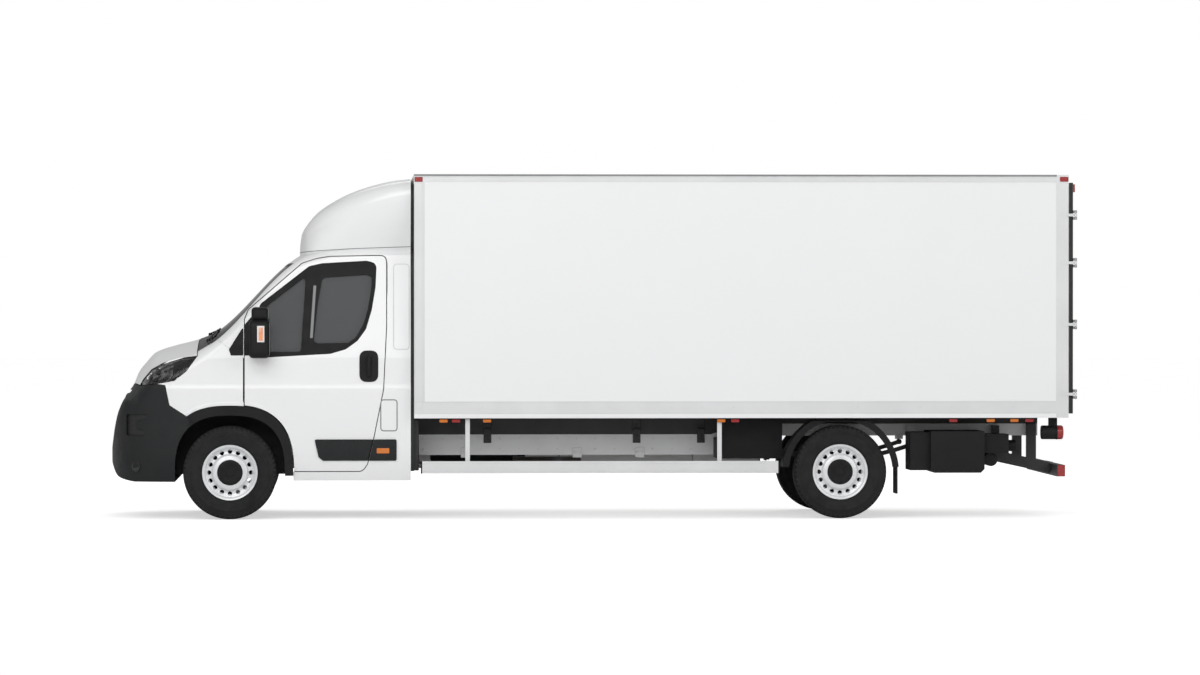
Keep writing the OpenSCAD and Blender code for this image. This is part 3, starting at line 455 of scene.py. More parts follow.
# Distance behind the front axle, underside, top at the middle, how far the side lies inside the
# full width, fall of the crown, and corner radius
STATIONS = [(NOSE_U, 440, 585, 695, 5, 40), (-938, 385, 740, 470, 15, 60), (-905, 340, 880, 325, 25, 80),
    (-860, 320, 985, 225, 45, 100), (-797, 305, 1075, 155, 110, 130), (-757, 300, 1172, 125, 165, 150),
    (-696, 300, 1252, 95, 165, 150), (-617, 300, 1332, 68, 150, 140), (-479, 300, 1381, 38, 130, 130),
    (-290, 300, 1430, 16, 105, 110), (-165, 305, 1475, 7, 80, 100), (489, 310, 2075, 3, 40, 90),
    (640, 310, 2160, 1, 38, 105), (900, 310, 2212, 0, 35, 110), (BACK_U, 310, 2228, 4, 35, 110)]


def curve_through(xs, ys):
    """A smooth curve through points that never overshoots them (Fritsch-Carlson slopes)."""
    steps = [(ys[i + 1] - ys[i]) / (xs[i + 1] - xs[i]) for i in range(len(xs) - 1)]
    slopes = [steps[0]]
    for a, b in zip(steps, steps[1:]):
        slopes.append(0 if a * b <= 0 else 2 * a * b / (a + b))
    slopes.append(steps[-1])

    def value(x):
        i = max(0, min(len(xs) - 2, next((k for k, v in enumerate(xs[1:]) if x <= v), len(xs) - 2)))
        h = xs[i + 1] - xs[i]
        t = max(0.0, min(1.0, (x - xs[i]) / h))
        return (ys[i] * (1 + 2 * t) * (1 - t) ** 2 + h * slopes[i] * t * (1 - t) ** 2 + ys[i + 1] * t * t *
            (3 - 2 * t) + h * slopes[i + 1] * t * t * (t - 1))
    return value


def curves(stations):
    """One smooth curve for each column of the stations, over their first column."""
    us = [s[0] for s in stations]
    return [curve_through(us, [s[k] for s in stations]) for k in range(1, len(stations[0]))]


CAB_CURVES = curves(STATIONS)


def side_y(w, z):
    """Half-width of the side at height z, where its widest half is w."""
    step = min(1, max(0, (z - CREASE_Z + 14) / 28))
    return (w - 45 * max(0, 1 - (z - SILL_Z) / 300) ** 2 - 0.05 * max(0, z - CREASE_Z) - 0.09 *
        max(0, z - BELT_Z) - CREASE_STEP * step * step * (3 - 2 * step))


LEVELS = sorted(set(range(330, 2100, 40)) | {CREASE_Z + k for k in (-14, -7, 0, 7, 14)} |
    {BELT_Z - 8, BELT_Z + 8})


def half_section(u, d):
    """Half outline of the cab at u, from the sill to the middle of the crown, d inside the skin."""
    low, top, inset, fall, corner = (c(u) for c in CAB_CURVES)
    w, top, low = HALF_MM - inset, top - d, low + d
    shoulder = max(low + 20, top - fall - corner)
    r = min(corner, top - fall - shoulder)
    yc = side_y(w, shoulder) - d - r
    lean = math.atan(2 * fall / max(yc, 1))
    rim = (yc + r * math.sin(lean), shoulder + r * math.cos(lean))
    count, tiny, points = len(LEVELS) + 2, 0.15, []
    for j, z in enumerate([-9e9] + LEVELS + [9e9]):
        z = min(max(z, low + tiny * j), shoulder - tiny * (count - 1 - j))
        points.append((side_y(w, z) - d, z))
    for i in range(1, 9):
        a = (math.pi / 2 - lean) * i / 8
        points.append((yc + r * math.cos(a), shoulder + r * math.sin(a)))
    for i in range(1, 11):
        k = 1 - i / 10
        points.append((rim[0] * k, rim[1] + (top - rim[1]) * (1 - k * k)))
    return points


def rearward(u):
    """How much of a depth also moves a ring back: all at the nose, none at the firewall."""
    return min(1, max(0, (FIREWALL_U - 15 - u) / 600))


def loft(name, rings):
    """A closed solid through rings of (x, y, z) in millimetres, the x measured from the front axle."""
    n = len(rings[0])
    verts = [(FRONT_X + x * MM, y * MM, z * MM) for ring in rings for x, y, z in ring]
    faces = [(i * n + k, i * n + (k + 1) % n, (i + 1) * n + (k + 1) % n, (i + 1) * n + k) for i in
        range(len(rings) - 1) for k in range(n)]
    last = (len(rings) - 1) * n
    faces += [tuple(range(n))[::-1], tuple(last + k for k in range(n))]
    obj = new_object(name, verts, faces)
    fix_normals(obj)
    return obj


def whole_ring(x, half):
    """A ring from a half outline that ends at the middle."""
    return [(x, y, z) for y, z in half] + [(x, -y, z) for y, z in half[-2::-1]]


CAB_US = ([NOSE_U + 12 * i for i in range(int((-696 - NOSE_U) / 12) + 1)] + list(range(-696, -165, 24)) +
    list(range(-165, 489, 40)) + list(range(489, int(BACK_U) - 20, 40)))
CAB_US = sorted(set(CAB_US) | {BACK_U})


def cab_solid(d, past=0):
    """The cab as one solid, d inside the skin; it runs past the back to leave a shell open there."""
    rings = [whole_ring(u + d * rearward(u), half_section(u, d)) for u in CAB_US]
    if past:
        rings.append([(BACK_U + past, y, z) for _, y, z in rings[-1]])
    return loft("cab_solid", rings)


CORE = {}


def core(d):
    """A fresh copy of the cab solid d inside the skin."""
    if d not in CORE:
        made = cab_solid(d, 0 if d <= 0 else 6)
        CORE[d] = made.data
        bpy.data.objects.remove(made)
    return placed("core", CORE[d].copy())


# ---------------------------------------------------------------- outlines in the side view, (u, z)

def area(points):
    """Signed area of an outline, above zero where it runs anticlockwise."""
    return sum(a[0] * b[1] - b[0] * a[1] for a, b in zip(points, points[1:] + points[:1])) / 2


def offset(points, by):
    """The outline grown by a distance (or shrunk, if it is below zero)."""
    if area(points) < 0:
        points = points[::-1]
    out, n = [], len(points)
    for i in range(n):
        p, a, b = points[i], points[i - 1], points[(i + 1) % n]
        d1 = Vector((p[0] - a[0], p[1] - a[1])).normalized()
        d2 = Vector((b[0] - p[0], b[1] - p[1])).normalized()
        n1, n2 = Vector((d1.y, -d1.x)), Vector((d2.y, -d2.x))
        mid = n1 + n2
        scale = by / max(0.3, (1 + n1.dot(n2)))
        out.append((p[0] + mid.x * scale, p[1] + mid.y * scale))
    return out


def fillet(points, radius):
    """The outline with each corner rounded."""
    out, n = [], len(points)
    for i in range(n):
        p, a, b = Vector(points[i]), Vector(points[i - 1]), Vector(points[(i + 1) % n])
        da, db = a - p, b - p
        la, lb = da.length, db.length
        da.normalize(), db.normalize()
        turn = math.acos(max(-1, min(1, -da.dot(db))))
        if turn < math.radians(2):
            out.append(tuple(p))
            continue
        reach = min(radius * math.tan(turn / 2), 0.45 * la, 0.45 * lb)
        s, e = p + da * reach, p + db * reach
        for k in range(6):
            t = k / 5
            q = s * (1 - t) ** 2 + p * 2 * t * (1 - t) + e * t * t
            out.append((q.x, q.y))
    return out


ARCH_IN, ARCH_OUT, ARCH_POWER, ARCH_LOW = (440, 458), (507, 537), 2.6, 250


def arch(size, extra=0.0, low=ARCH_LOW):
    """Outline of the wheel opening."""
    points = [(size[0] + extra, low - extra)]
    for i in range(49):
        t = math.pi * i / 48
        c = math.cos(t)
        points.append(((size[0] + extra) * math.copysign(abs(c) ** (2 / ARCH_POWER), c), TYRE_MM +
            (size[1] + extra) * math.sin(t) ** (2 / ARCH_POWER)))
    return points + [(-size[0] - extra, low - extra)]


PILLAR_FOOT = [(FIREWALL_U, 1478), (-6, 1372), (112, 1292)]
LAMP_TOP = [(-262, 1304), (-414, 1283), (-540, 1245), (-628, 1196), (-696, 1118), (-722, 1068)]
LAMP_LOW = [(-579, 1085), (-444, 1109), (-347, 1186)]
BUMPER_EDGE = [(-722, 1068), (-579, 1085), (-516, 1075), (-482, 915), (-317, 808)]
HOOD_FRONT_Z, DOOR_FRONT_U, DOOR_REAR_U, DOOR_GAP = 1077, 112, 1263, 7
DOOR_BACK = DOOR_REAR_U - 6
DOOR = fillet([(112, 380), (112, 1600), (142, 1680), (574, 2054), (690, 2092), (800, 2110),
    (DOOR_BACK, 2118), (DOOR_BACK, 1550), (DOOR_BACK - 25, 1041), (DOOR_BACK - 102, 658),
    (DOOR_BACK - 153, 441), (DOOR_BACK - 185, 395), (DOOR_BACK - 215, 380)], 60)
WINDOW = fillet([(230, 1308), (250, 1712), (640, 2014), (740, 2036), (1090, 2056), (1158, 2040),
    (1150, 1860), (1120, 1680), (1075, 1530), (1010, 1440), (920, 1375), (800, 1340)], 45)
QUARTER_GLASS = fillet([(262, 1342), (280, 1698), (590, 1938), (604, 1900), (566, 1342)], 26)
MAIN_GLASS = fillet([(668, 1408), (698, 1700), (738, 1938), (1080, 1962), (1136, 1950), (1128, 1830),
    (1105, 1690), (1066, 1560), (1005, 1455), (950, 1414)], 40)
FUEL_FLAP = fillet([(1206, 709), (1336, 709), (1336, 957), (1206, 957)], 26)
PILLAR_RECESS = fillet([(1309, 1361), (1434, 1361), (1434, 2044), (1309, 2044)], 30)
RUB_STRIP = fillet([(676, 641), (1332, 641), (1332, 470), (744, 470), (708, 500)], 14)
HANDLE = fillet([(1035, 1100), (1186, 1100), (1186, 1352), (1035, 1352)], 62)
SAIL = fillet([(-8, 1361), (8, 1312), (108, 1312), (108, 1545)], 10)
SAIL_DOOR = fillet([(112, 1312), (236, 1312), (236, 1640), (172, 1622), (112, 1552)], 8)
WINDSCREEN = fillet([(-905, 1380), (905, 1380), (905, 1440), (822, 2052), (-822, 2052), (-905, 1440)], 60)


def from_axle(points):
    """An outline in millimetres from the front axle, in metres."""
    return [(FRONT_X + u * MM, z * MM) for u, z in points]


def across(outline, y0=-1100, y1=1100):
    """A side-view outline made solid from y0 to y1."""
    return extrude("across", from_axle(outline), "y", y0 * MM, y1 * MM)


def along(outline, u0, u1):
    """A front-view outline (y, z) made solid from u0 to u1."""
    return extrude("along", [(y * MM, z * MM) for y, z in outline], "x", FRONT_X + u0 * MM, FRONT_X + u1 *
        MM)


def brick(low, high):
    """A plain cutting block, in millimetres from the front axle."""
    return across([(low[0], low[2]), (high[0], low[2]), (high[0], high[2]), (low[0], high[2])], low[1],
        high[1])


def panel(name, outline, thick, y0=-1100, y1=1100, d=0.0, cuts=(), edge=1.6, keep=None):
    """The cab's skin inside a side-view outline, thick mm through from d inside the surface."""
    obj = core(d)
    clip(obj, across(outline, y0, y1))
    if keep:
        clip(obj, keep)
    carve(obj, core(d + thick))
    for cut in cuts:
        carve(obj, cut)
    obj.name = name
    if edge:
        bevel(obj, edge * MM, 1, 60)
    smooth(obj, CAB_SHARP)
    return obj


def finish(obj, name, material, body="chassis", replaces=()):
    """Names, paints and mounts a piece."""
    obj.name = name
    paint(obj, material)
    if replaces:
        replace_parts(obj, *replaces)
    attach(obj, body)
    return obj


def pressed(outline, depth):
    """A cutting tool for a recess of that depth inside an outline on the left side."""
    tool = core(-3)
    clip(tool, across(outline, *LEFT))
    carve(tool, core(depth))
    return tool


def engraved(outline, width, depth):
    """A cutting tool for a groove along an outline on the left side."""
    tool = pressed(offset(outline, width / 2), depth)
    carve(tool, across(offset(outline, -width / 2), -1101, -599))
    return tool




def both(obj, base, material, body="chassis", replaces=""):
    """Mounts a left piece and its mirror image. body and replaces may hold {} for the side."""
    twin = mirrored(obj, "twin")
    for piece, side_name in ((obj, "left"), (twin, "right")):
        finish(piece, f"{base}_{side_name}", material, body.format(side_name),
            [replaces.format(side_name)] if replaces else ())
    return obj, twin

# ---------------------------------------------------------------- cab panels

hood_line = offset([(COWL_U, 1600), (COWL_U, 1304)] + LAMP_TOP +
    [(-760, HOOD_FRONT_Z), (-1100, HOOD_FRONT_Z), (-1100, 1600)], -6)
finish(panel("hood", hood_line, SKIN_T), "hood_panel", "white_paint", "hood", replaces=["hood"])

fender_line = offset([(COWL_U, 1304), (COWL_U, 1500), (FIREWALL_U, 1500)] + PILLAR_FOOT +
    [(DOOR_FRONT_U, 700), (-317, 700), (-317, 808), (-482, 915), (-516, 1075), (-579, 1085)] +
    [p for p in LAMP_LOW if p[0] > -579] + [LAMP_TOP[0]], -1)
fender = panel("fender", fender_line, SKIN_T, *LEFT, cuts=[across(arch(ARCH_OUT)),
    brick((DOOR_FRONT_U - DOOR_GAP, -1100, 600), (DOOR_FRONT_U + 50, -600, 1330)),
    brick((NOSE_U, -COWL_HALF, BELT_Z), (FIREWALL_U, 0, 1600)),
    along(WINDSCREEN, FIREWALL_U, SCREEN_TOP_U)])
both(fender, "fender", "white_paint")
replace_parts(fender, "front_fenders")



def eye_hole():
    """The cutting tool for the towing eye's hole."""
    return extrude("eye", circle(0.420, 0.570, 0.03), "x", NOSE_X - 0.01, NOSE_X + 0.2)


# Bumper with its grille slots, scooped corners and towing eye hole
bumper_line = offset([(-1100, 250), (-1100, HOOD_FRONT_Z), (-760, HOOD_FRONT_Z)] + BUMPER_EDGE +
    [(-317, 250)], -1)
slots = [brick((NOSE_U - 5, -y, z), (-800, y, z + 34)) for z, y in
    ((995, 470), (940, 500), (885, 520), (830, 540), (700, 420), (650, 420))]
SCOOP = fillet([(-830, 670), (-830, 842), (-650, 842), (-668, 800), (-752, 786), (-752, 728), (-676, 714),
    (-690, 670)], 14)
scoops = [across(SCOOP, y0, y1) for y0, y1 in ((-1100, -790), (790, 1100))]
bumper = panel("bumper", bumper_line, 35, cuts=[across(arch(ARCH_IN))] + slots, edge=2.0)
backing = panel("bumper_backing", offset(bumper_line, -8), 8, -1000, 1000, d=26,
    cuts=[across(arch(ARCH_IN, 8)), eye_hole()], edge=0)
for scoop in scoops:
    piece = core(-5)
    carve(piece, core(14))
    clip(piece, scoop)
    carve(bumper, piece)
carve(bumper, eye_hole())
smooth(bumper, CAB_SHARP)
finish(bumper, "bumper", "grey_plastic", replaces=["front_bumper"])
inlay = panel("inlay", offset(SCOOP, -1), 1.5, -1100, -790, d=12, edge=0)
both(inlay, "bumper_scoop", "rubber_seal")
finish(backing, "grille_backing", "black_plastic")

# Cab sides: pillars, sill and rear quarter, with the flange behind the shut door
side_line = offset(PILLAR_FOOT + [(DOOR_FRONT_U, ARCH_LOW), (BACK_U, ARCH_LOW), (BACK_U, 2124),
    (DOOR_REAR_U, 2124), (DOOR_REAR_U, 2060), (440, 1850), (440, 2124), (FIREWALL_U, 1600)], -0.2)
side = panel("cab_side", side_line, DOOR_T, *PILLAR_SIDE, cuts=[across(DOOR), across(arch(ARCH_OUT, 0.3)),
    along(WINDSCREEN, -400, SCREEN_TOP_U), brick((0, -HALF_MM + DOOR_T + 60, 0), (BACK_U + 5, 0, 600)),
    brick((BACK_U - 30, -HALF_MM + DOOR_T, 0), (BACK_U + 5, 0, 1500)), engraved(FUEL_FLAP, 9, 9),
    engraved(PILLAR_RECESS, 8, 8)], edge=2.0)
flange = [(DOOR_REAR_U - 55, CREASE_Z), (DOOR_REAR_U + 30, CREASE_Z), (DOOR_REAR_U + 30, BELT_Z),
    (DOOR_REAR_U - 55, BELT_Z)]
flange_left = panel("flange", flange, 12, *PILLAR_SIDE, d=DOOR_T + 0.3)
both(side, "cab_side", "white_paint", replaces="cab_side_{}")
both(flange_left, "door_flange", "rubber_seal")

# Grey rings in the grooves: the fuel flap's ring darkens its shut line, and the pillar recess's ring is
# painted shade along the recess's edge.
for outline, half, d, base, mat in ((FUEL_FLAP, 4.3, 4, "fuel_flap_seal", "seal_grey"),
        (PILLAR_RECESS, 3.8, 3, "pillar_recess_shade", "frame_grey")):
    both(panel("ring", offset(outline, half), 2, *PILLAR_SIDE, d=d, cuts=[across(offset(outline, -half))],
        edge=0), base, mat)

roof_line = [(440.3, 1800), (440.3, 2400), (BACK_U, 2400), (BACK_U, 2124.3), (DOOR_REAR_U, 2124.3),
    (DOOR_REAR_U, 1800)]
roof = panel("cab_roof", roof_line, ROOF_T, cuts=[across(DOOR), along(WINDSCREEN, -400, SCREEN_TOP_U)])
finish(roof, "cab_roof_panel", "white_paint", replaces=["cab_roof"])

# Windscreen, its black border inside and its moulding outside


def screen_part(outer, inner, edge, hole=0):
    """A shell over the windscreen between two depths, its edge moved in, with a hole for a frame."""
    obj = core(outer)
    clip(obj, along(offset(WINDSCREEN, -edge), FIREWALL_U, SCREEN_TOP_U))
    if hole:
        carve(obj, along(offset(WINDSCREEN, -hole), FIREWALL_U - 60, SCREEN_TOP_U + 60))
    carve(obj, core(inner))
    smooth(obj, CAB_SHARP)
    return obj


finish(screen_part(0, GLASS_T, 0.3), "windscreen_glass", "glass_front",
    replaces=["windscreen"])
finish(screen_part(GLASS_T, GLASS_T + 2, 1, 55), "windscreen_border", "gloss_black")
finish(screen_part(-1.5, -0.1, 0.5, 24), "windscreen_moulding", "rubber_seal")

# Doors: skin, black window surround, quarter-light bar, glass and inner trim
door_line = offset(DOOR, -DOOR_GAP)
bar_line = [(574, 1250), (624, 2100), (664, 2100), (614, 1250)]
door = panel("door", door_line, DOOR_T, *LEFT, cuts=[across(arch(ARCH_OUT, DOOR_GAP)), across(WINDOW)],
    edge=2.2)
surround = panel("surround", offset(WINDOW, 15), 20, *LEFT, d=-0.8,
    cuts=[across(QUARTER_GLASS), across(MAIN_GLASS)], edge=0.8)
bar = panel("bar", bar_line, 36, *LEFT, d=-4, edge=0, keep=across(offset(WINDOW, 2), *LEFT))
glass = panel("glass", offset(WINDOW, -0.3), GLASS_T, *LEFT, d=22, cuts=[across(bar_line)], edge=0)
trim_line = [(160, 640), (160, 1280), (1180, 1280), (1180, 1040), (1090, 640)]
trim = panel("trim", fillet(trim_line, 40), 5, *LEFT, d=DOOR_T + 0.2, cuts=[across(arch(ARCH_OUT, 20))],
    edge=1.5)
for part, base, mat, replaced in ((door, "door_skin", "white_paint", "door_{}"),
        (surround, "window_surround", "black_plastic", ""), (bar, "quarter_bar", "black_plastic", ""),
        (glass, "side_glass", "glass_dark", "door_glass_{}"), (trim, "door_trim", "vinyl", "")):
    both(part, base, mat, "cab_door_{}", replaces=replaced)

# Headlights: clear lens over a silver housing with two reflector bowls and a light guide, dark at its rear
lamp_line = offset(fillet(LAMP_TOP + LAMP_LOW, 14), -3)
lens = panel("lens", lamp_line, 4, *LAMP_SIDE, d=0, edge=0)
LAMPS = (("main", -640, 1132, 34), ("dip", -572, 1172, 36))
holes = [across(circle(u, z, 22, 32), -1100, -500) for _, u, z, _ in LAMPS]
housing = panel("housing", offset(lamp_line, -2), 4, *LAMP_SIDE, d=9, cuts=holes, edge=0)
rim_band = panel("rim", offset(lamp_line, -1), 20, *LAMP_SIDE, d=4,
    cuts=[across(offset(lamp_line, -11), -1101, -400)], edge=0)
both(lens, "headlight_lens", "lamp_clear")
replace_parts(lens, "headlights")
dark_part = across([(-478, 1000), (-430, 1400), (-100, 1400), (-100, 1000)], -1100, -500)
rear_housing = copied(housing, (0, 0, 0))
clip(rear_housing, dark_part, True)
carve(housing, dark_part)
both(housing, "headlight_housing", "lamp_inner")
both(rear_housing, "headlight_surround", "gloss_black")
guide = [panel("guide", [(-508, 1080), (-470, 1300), (-448, 1300), (-486, 1080)], 3, *LAMP_SIDE, d=5.5,
    edge=0), panel("guide", [(-690, 1092), (-600, 1100), (-450, 1124), (-450, 1134), (-600, 1112),
    (-690, 1102)], 3, *LAMP_SIDE, d=5.5, edge=0)]
for part in guide:
    clip(part, across(offset(lamp_line, -12), -1100, -500))
both(join("guide", guide), "light_guide", "plate_blank")
both(rim_band, "headlight_rim", "gloss_black")
for label, u, z, r in LAMPS:
    half = half_section(u, 30)
    y_lamp = max(y for (y, z0), (_, z1) in zip(half, half[1:]) if z0 <= z <= z1 or z1 <= z <= z0)
    bowl = [(0, 10), (r * 0.5, 9), (r * 0.8, 5), (r * 0.92, 0), (r, -3), (r * 1.06, 3), (r * 1.06, 9),
        (r * 0.9, 16), (r * 0.4, 21), (0, 22)]
    for side_name, sign in SIDES:
        cup = lathe("cup", [(q * MM, h * MM) for q, h in bowl], (0, 0, 0), "x", 40)
        turned(cup, -sign * math.radians(50), (FRONT_X + u * MM, sign * y_lamp * MM, z * MM), "Z")
        finish(cup, f"reflector_{label}_{side_name}", "chrome")

# Roof fairing
FAIRING = [(555, 2100, 2205, 300, 280, 20), (568, 2100, 2290, 520, 480, 60),
    (619, 2110, 2377, 745, 720, 90), (694, 2120, 2464, 815, 810, 110), (820, 2130, 2552, 838, 880, 120),
    (983, 2140, 2634, 845, 935, 125), (1170, 2145, 2695, 848, 985, 125), (1321, 2148, 2728, 850, 1015, 120),
    (BACK_U, 2150, 2742, 850, 1030, 115)]
FAIRING_CURVES = curves(FAIRING)


def fairing_half(u, d):
    """Half outline of the fairing at u, from its foot to the middle."""
    low, top, foot, shoulder, r = (c(u) for c in FAIRING_CURVES)
    top, y = top - d, shoulder - d
    knee = ((foot + shoulder) / 2 - d + 25, (low + top - r) / 2)
    points = []
    start, end = (foot - d, low), (y, top - 30 - r)
    for i in range(11):
        t = i / 10
        q = [start[k] * (1 - t) ** 2 + 2 * (2 * knee[k] - (start[k] + end[k]) / 2) * t * (1 - t) * 0.5 +
            knee[k] * t * (1 - t) + end[k] * t * t for k in (0, 1)]
        points.append((q[0], start[1] + (end[1] - start[1]) * t))
    for i in range(1, 13):
        a = math.radians(84 * i / 12)
        points.append((y - r + r * math.cos(a), top - 30 - r + r * math.sin(a)))
    last = points[-1]
    for i in range(1, 9):
        k = 1 - i / 8
        points.append((last[0] * k, last[1] + (top - last[1]) * (1 - k * k)))
    return points


def fairing_solid(d, past=0):
    """The roof fairing as one solid, d inside its skin; it runs past its back to leave a shell open."""
    us = [555 + 6 * i for i in range(12)] + list(range(630, int(BACK_U), 34)) + [BACK_U]
    rings = [whole_ring(u + 1.5 * d * max(0, 1 - (u - 555) / 600), fairing_half(u, d)) for u in us]
    if past:
        rings.append([(BACK_U + past, y, z) for _, y, z in rings[-1]])
    return loft("fairing", rings)


fairing = fairing_solid(0)
carve(fairing, fairing_solid(12, 10))
carve(fairing, core(-0.4))
carve(fairing, brick((0, -1100, 1900), (BACK_U + 20, 1100, 2110)))
bevel(fairing, 1.5 * MM, 1, 60)
smooth(fairing, 35)
finish(fairing, "roof_fairing_shell", "white_paint", replaces=["roof_fairing"])
# A grey strip along the fairing's foot: painted shade of the shadow gap between the fairing and the cab
# roof.
fairing_foot_shade = fairing_solid(-0.8)
clip(fairing_foot_shade, across([(530, 2134), (700, 2148), (1000, 2166), (BACK_U - 2, 2181), (BACK_U - 2, 2187),
    (1000, 2172), (700, 2154), (530, 2140)]))
carve(fairing_foot_shade, fairing_solid(1.5, 10))
carve(fairing_foot_shade, core(-0.4))
smooth(fairing_foot_shade, 35)
finish(fairing_foot_shade, "fairing_foot_shade_strip", "seal_grey")

# ---------------------------------------------------------------- wheels

RIM_SEAT, VENTS, VENT_R, NUTS, TREAD_BLOCKS = 0.203, 16, 0.018, 6, 58
RIM_PROFILE = [(-6, -88), (18, -88), (19, -84), (18, -81), (4, -79), (0, -74), (0, -45), (-22, -30),
    (-22, 15), (0, 40), (0, 74), (4, 79), (18, 81), (20, 84), (18, 88), (8, 87), (0, 82), (-6, 74),
    (-6, 44), (-28, 20), (-28, -34), (-6, -49)]
DISC_PROFILE = [(198, 50), (186, 46), (173, 40), (162, 41), (151, 44), (144, 52), (137, 66), (128, 71),
    (100, 73), (97, 62), (40, 62), (40, 54), (123, 54), (133, 44), (143, 32), (173, 28), (197, 34)]
CAP_PROFILE = [(0, 81.5), (30, 81.5), (34, 79), (58, 78.5), (66, 81.2), (88, 81.2), (97, 79.5), (102.5, 74),
    (103, 64), (40, 64), (0, 64)]
SIDEWALL = [(0, 80), (17, 80), (21, 84), (21, 92), (27, 99), (34, 103.5), (36, 105.5), (40, 105.5),
    (42, 106), (60, 110.5), (80, 112.5), (100, 112), (102, 112.8), (106, 112.8), (108, 111.2), (125, 108.5)]


def tread_ring(name, centre):
    """Tread blocks round the tyre: five rows split by grooves, every other row half a pitch on."""
    verts, faces = [], []
    pitch = 2 * math.pi / TREAD_BLOCKS
    skew = 0.10 * pitch
    for y0, y1, shift in ((-0.091, -0.058, 0), (-0.052, -0.021, 0.5), (-0.015, 0.015, 0),
            (0.021, 0.052, 0.5), (0.058, 0.091, 0)):
        for k in range(TREAD_BLOCKS):
            a0, a1 = pitch * (k + shift + 0.07), pitch * (k + shift + 0.93)
            base = len(verts)
            for r in (TYRE_R - 0.010, TYRE_R - 0.0003):
                for a, y in ((a0 + skew, y0), (a1 + skew, y0), (a1 - skew, y1), (a0 - skew, y1)):
                    reach = r - 0.004 * (abs(y) / 0.091) ** 4
                    verts.append((centre[0] + reach * math.cos(a), centre[1] + y, centre[2] + reach *
                        math.sin(a)))
            faces += [tuple(base + i for i in (0, 1, 2, 3)), tuple(base + i for i in (7, 6, 5, 4))]
            faces += [(base + i, base + i + 4, base + (i + 1) % 4 + 4, base + (i + 1) % 4) for i in
                range(4)]
    obj = new_object(name, verts, faces)
    fix_normals(obj)
    return obj


def make_wheel(x):
    """The left wheel at x: tyre with tread and side ribs, rim with vents, hub cap and nuts."""
    centre = (x, -WHEEL_Y, TYRE_R)
    outer = [(RIM_SEAT + 0.0003 + r * MM, h * MM) for r, h in SIDEWALL]
    outer += [(TYRE_R - r * MM, h * MM) for r, h in ((30, 105), (28, 106.2), (22, 105), (15, 98.5),
        (10, 92.5))]
    profile = outer + [(TYRE_R - 0.009, 0.05), (TYRE_R - 0.009, -0.05)] + [(r, -h) for r, h in outer[::-1]]
    pieces = [lathe("carcass", profile, centre, "y", 128, -1), tread_ring("tread", centre)]
    for k in range(TREAD_BLOCKS):
        for low, high in ((-0.1062, -0.0900), (0.0900, 0.1062)):
            lug = block("lug", (-0.009, low, TYRE_R - 0.034), (0.009, high, TYRE_R - 0.0105), 0)
            pieces.append(turned(lug, 2 * math.pi * k / TREAD_BLOCKS, centre))
    tyre = join("tyre", pieces)
    smooth(tyre, 30)
    rim = lathe("rim", [(RIM_SEAT + r * MM, h * MM) for r, h in RIM_PROFILE], centre, "y", 96, -1)
    disc = lathe("disc", [(r * MM, h * MM) for r, h in DISC_PROFILE], centre, "y", 96, -1)
    holes = []
    for k in range(VENTS):
        a = 2 * math.pi * k / VENTS
        p = (centre[0] + 0.168 * math.cos(a), centre[1] - 0.08, centre[2] + 0.168 * math.sin(a))
        holes.append(lathe("hole", [(0, 0), (VENT_R, 0), (VENT_R, 0.08), (0, 0.08)], p, "y", 20))
    carve(disc, join("holes", holes))
    smooth(disc, 30)
    valve = sweep("valve", [(x + 0.188, centre[1] - 0.052, TYRE_R), (x + 0.192, centre[1] - 0.078, TYRE_R)],
        0.004, 10)
    metal = join("rim", [rim, disc, valve])
    pieces = [lathe("cover", [(r * MM, h * MM) for r, h in CAP_PROFILE], centre, "y", 72, -1)]
    for k in range(NUTS):
        a = 2 * math.pi * (k + 0.5) / NUTS
        p = (centre[0] + 0.077 * math.cos(a), centre[1] - 0.0800, centre[2] + 0.077 * math.sin(a))
        pieces.append(bolt("nut", p, 0.0125, 0.0055, "-y", 12))
    for k in range(12):
        rib = block("rib", (0.036, -0.0800, -0.0016), (0.056, -0.0780, 0.0016), 0)
        pieces.append(turned(rib, math.pi * k / 6, centre))
    cover = join("cover", pieces)
    smooth(cover, 30)
    return tyre, metal, cover


front_wheel = make_wheel(FRONT_X)
rear_wheel = [copied(part, (REAR_X - FRONT_X, 0, 0)) for part in front_wheel]
for place, (tyre, metal, cover) in (("front", front_wheel), ("rear", rear_wheel)):
    body = "wheel_" + place + "_{}"
    both(tyre, "tyre_tread_" + place, "tyre_rubber", body, replaces="tyre_" + place + "_{}")
    both(metal, "wheel_disc_" + place, "rim_silver", body, replaces="rim_" + place + "_{}")
    both(cover, "hub_cap_" + place, "black_plastic", body)

# ---------------------------------------------------------------- cab trim


def skin_z(u, y):
    """Height of the cab's skin at u and y."""
    half = half_section(u, 0)
    for (y0, z0), (y1, z1) in zip(half[::-1], half[-2::-1]):
        if y0 <= abs(y) <= y1:
            return z0 + (z1 - z0) * (abs(y) - y0) / max(1e-6, y1 - y0)
    return half[-1][1]


def on_skin(points, proud):
    """Points (u, y) laid on the skin from above, in metres, proud of it by a distance in mm."""
    return [(FRONT_X + u * MM, y * MM, (skin_z(u, y) + proud) * MM) for u, y in points]


def spaced(a, b, n):
    """n points from a to b."""
    return [tuple(p + (q - p) * k / (n - 1) for p, q in zip(a, b)) for k in range(n)]


# Rub strip, split where the door ends, with its amber marker
strip = panel("strip", RUB_STRIP, 14, *LEFT, d=-12, cuts=[across(offset(DOOR, 0.5))], edge=3)
both(strip, "rub_strip_side", "grey_plastic")
strip = panel("strip", RUB_STRIP, 14, *LEFT, d=-12, edge=3, keep=across(door_line))
both(strip, "rub_strip_door", "grey_plastic", "cab_door_{}")
marker = panel("marker", fillet([(1173, 529), (1274, 529), (1274, 571), (1173, 571)], 8), 6, *LEFT, d=-16,
    edge=2)
both(marker, "side_marker", "lamp_amber")

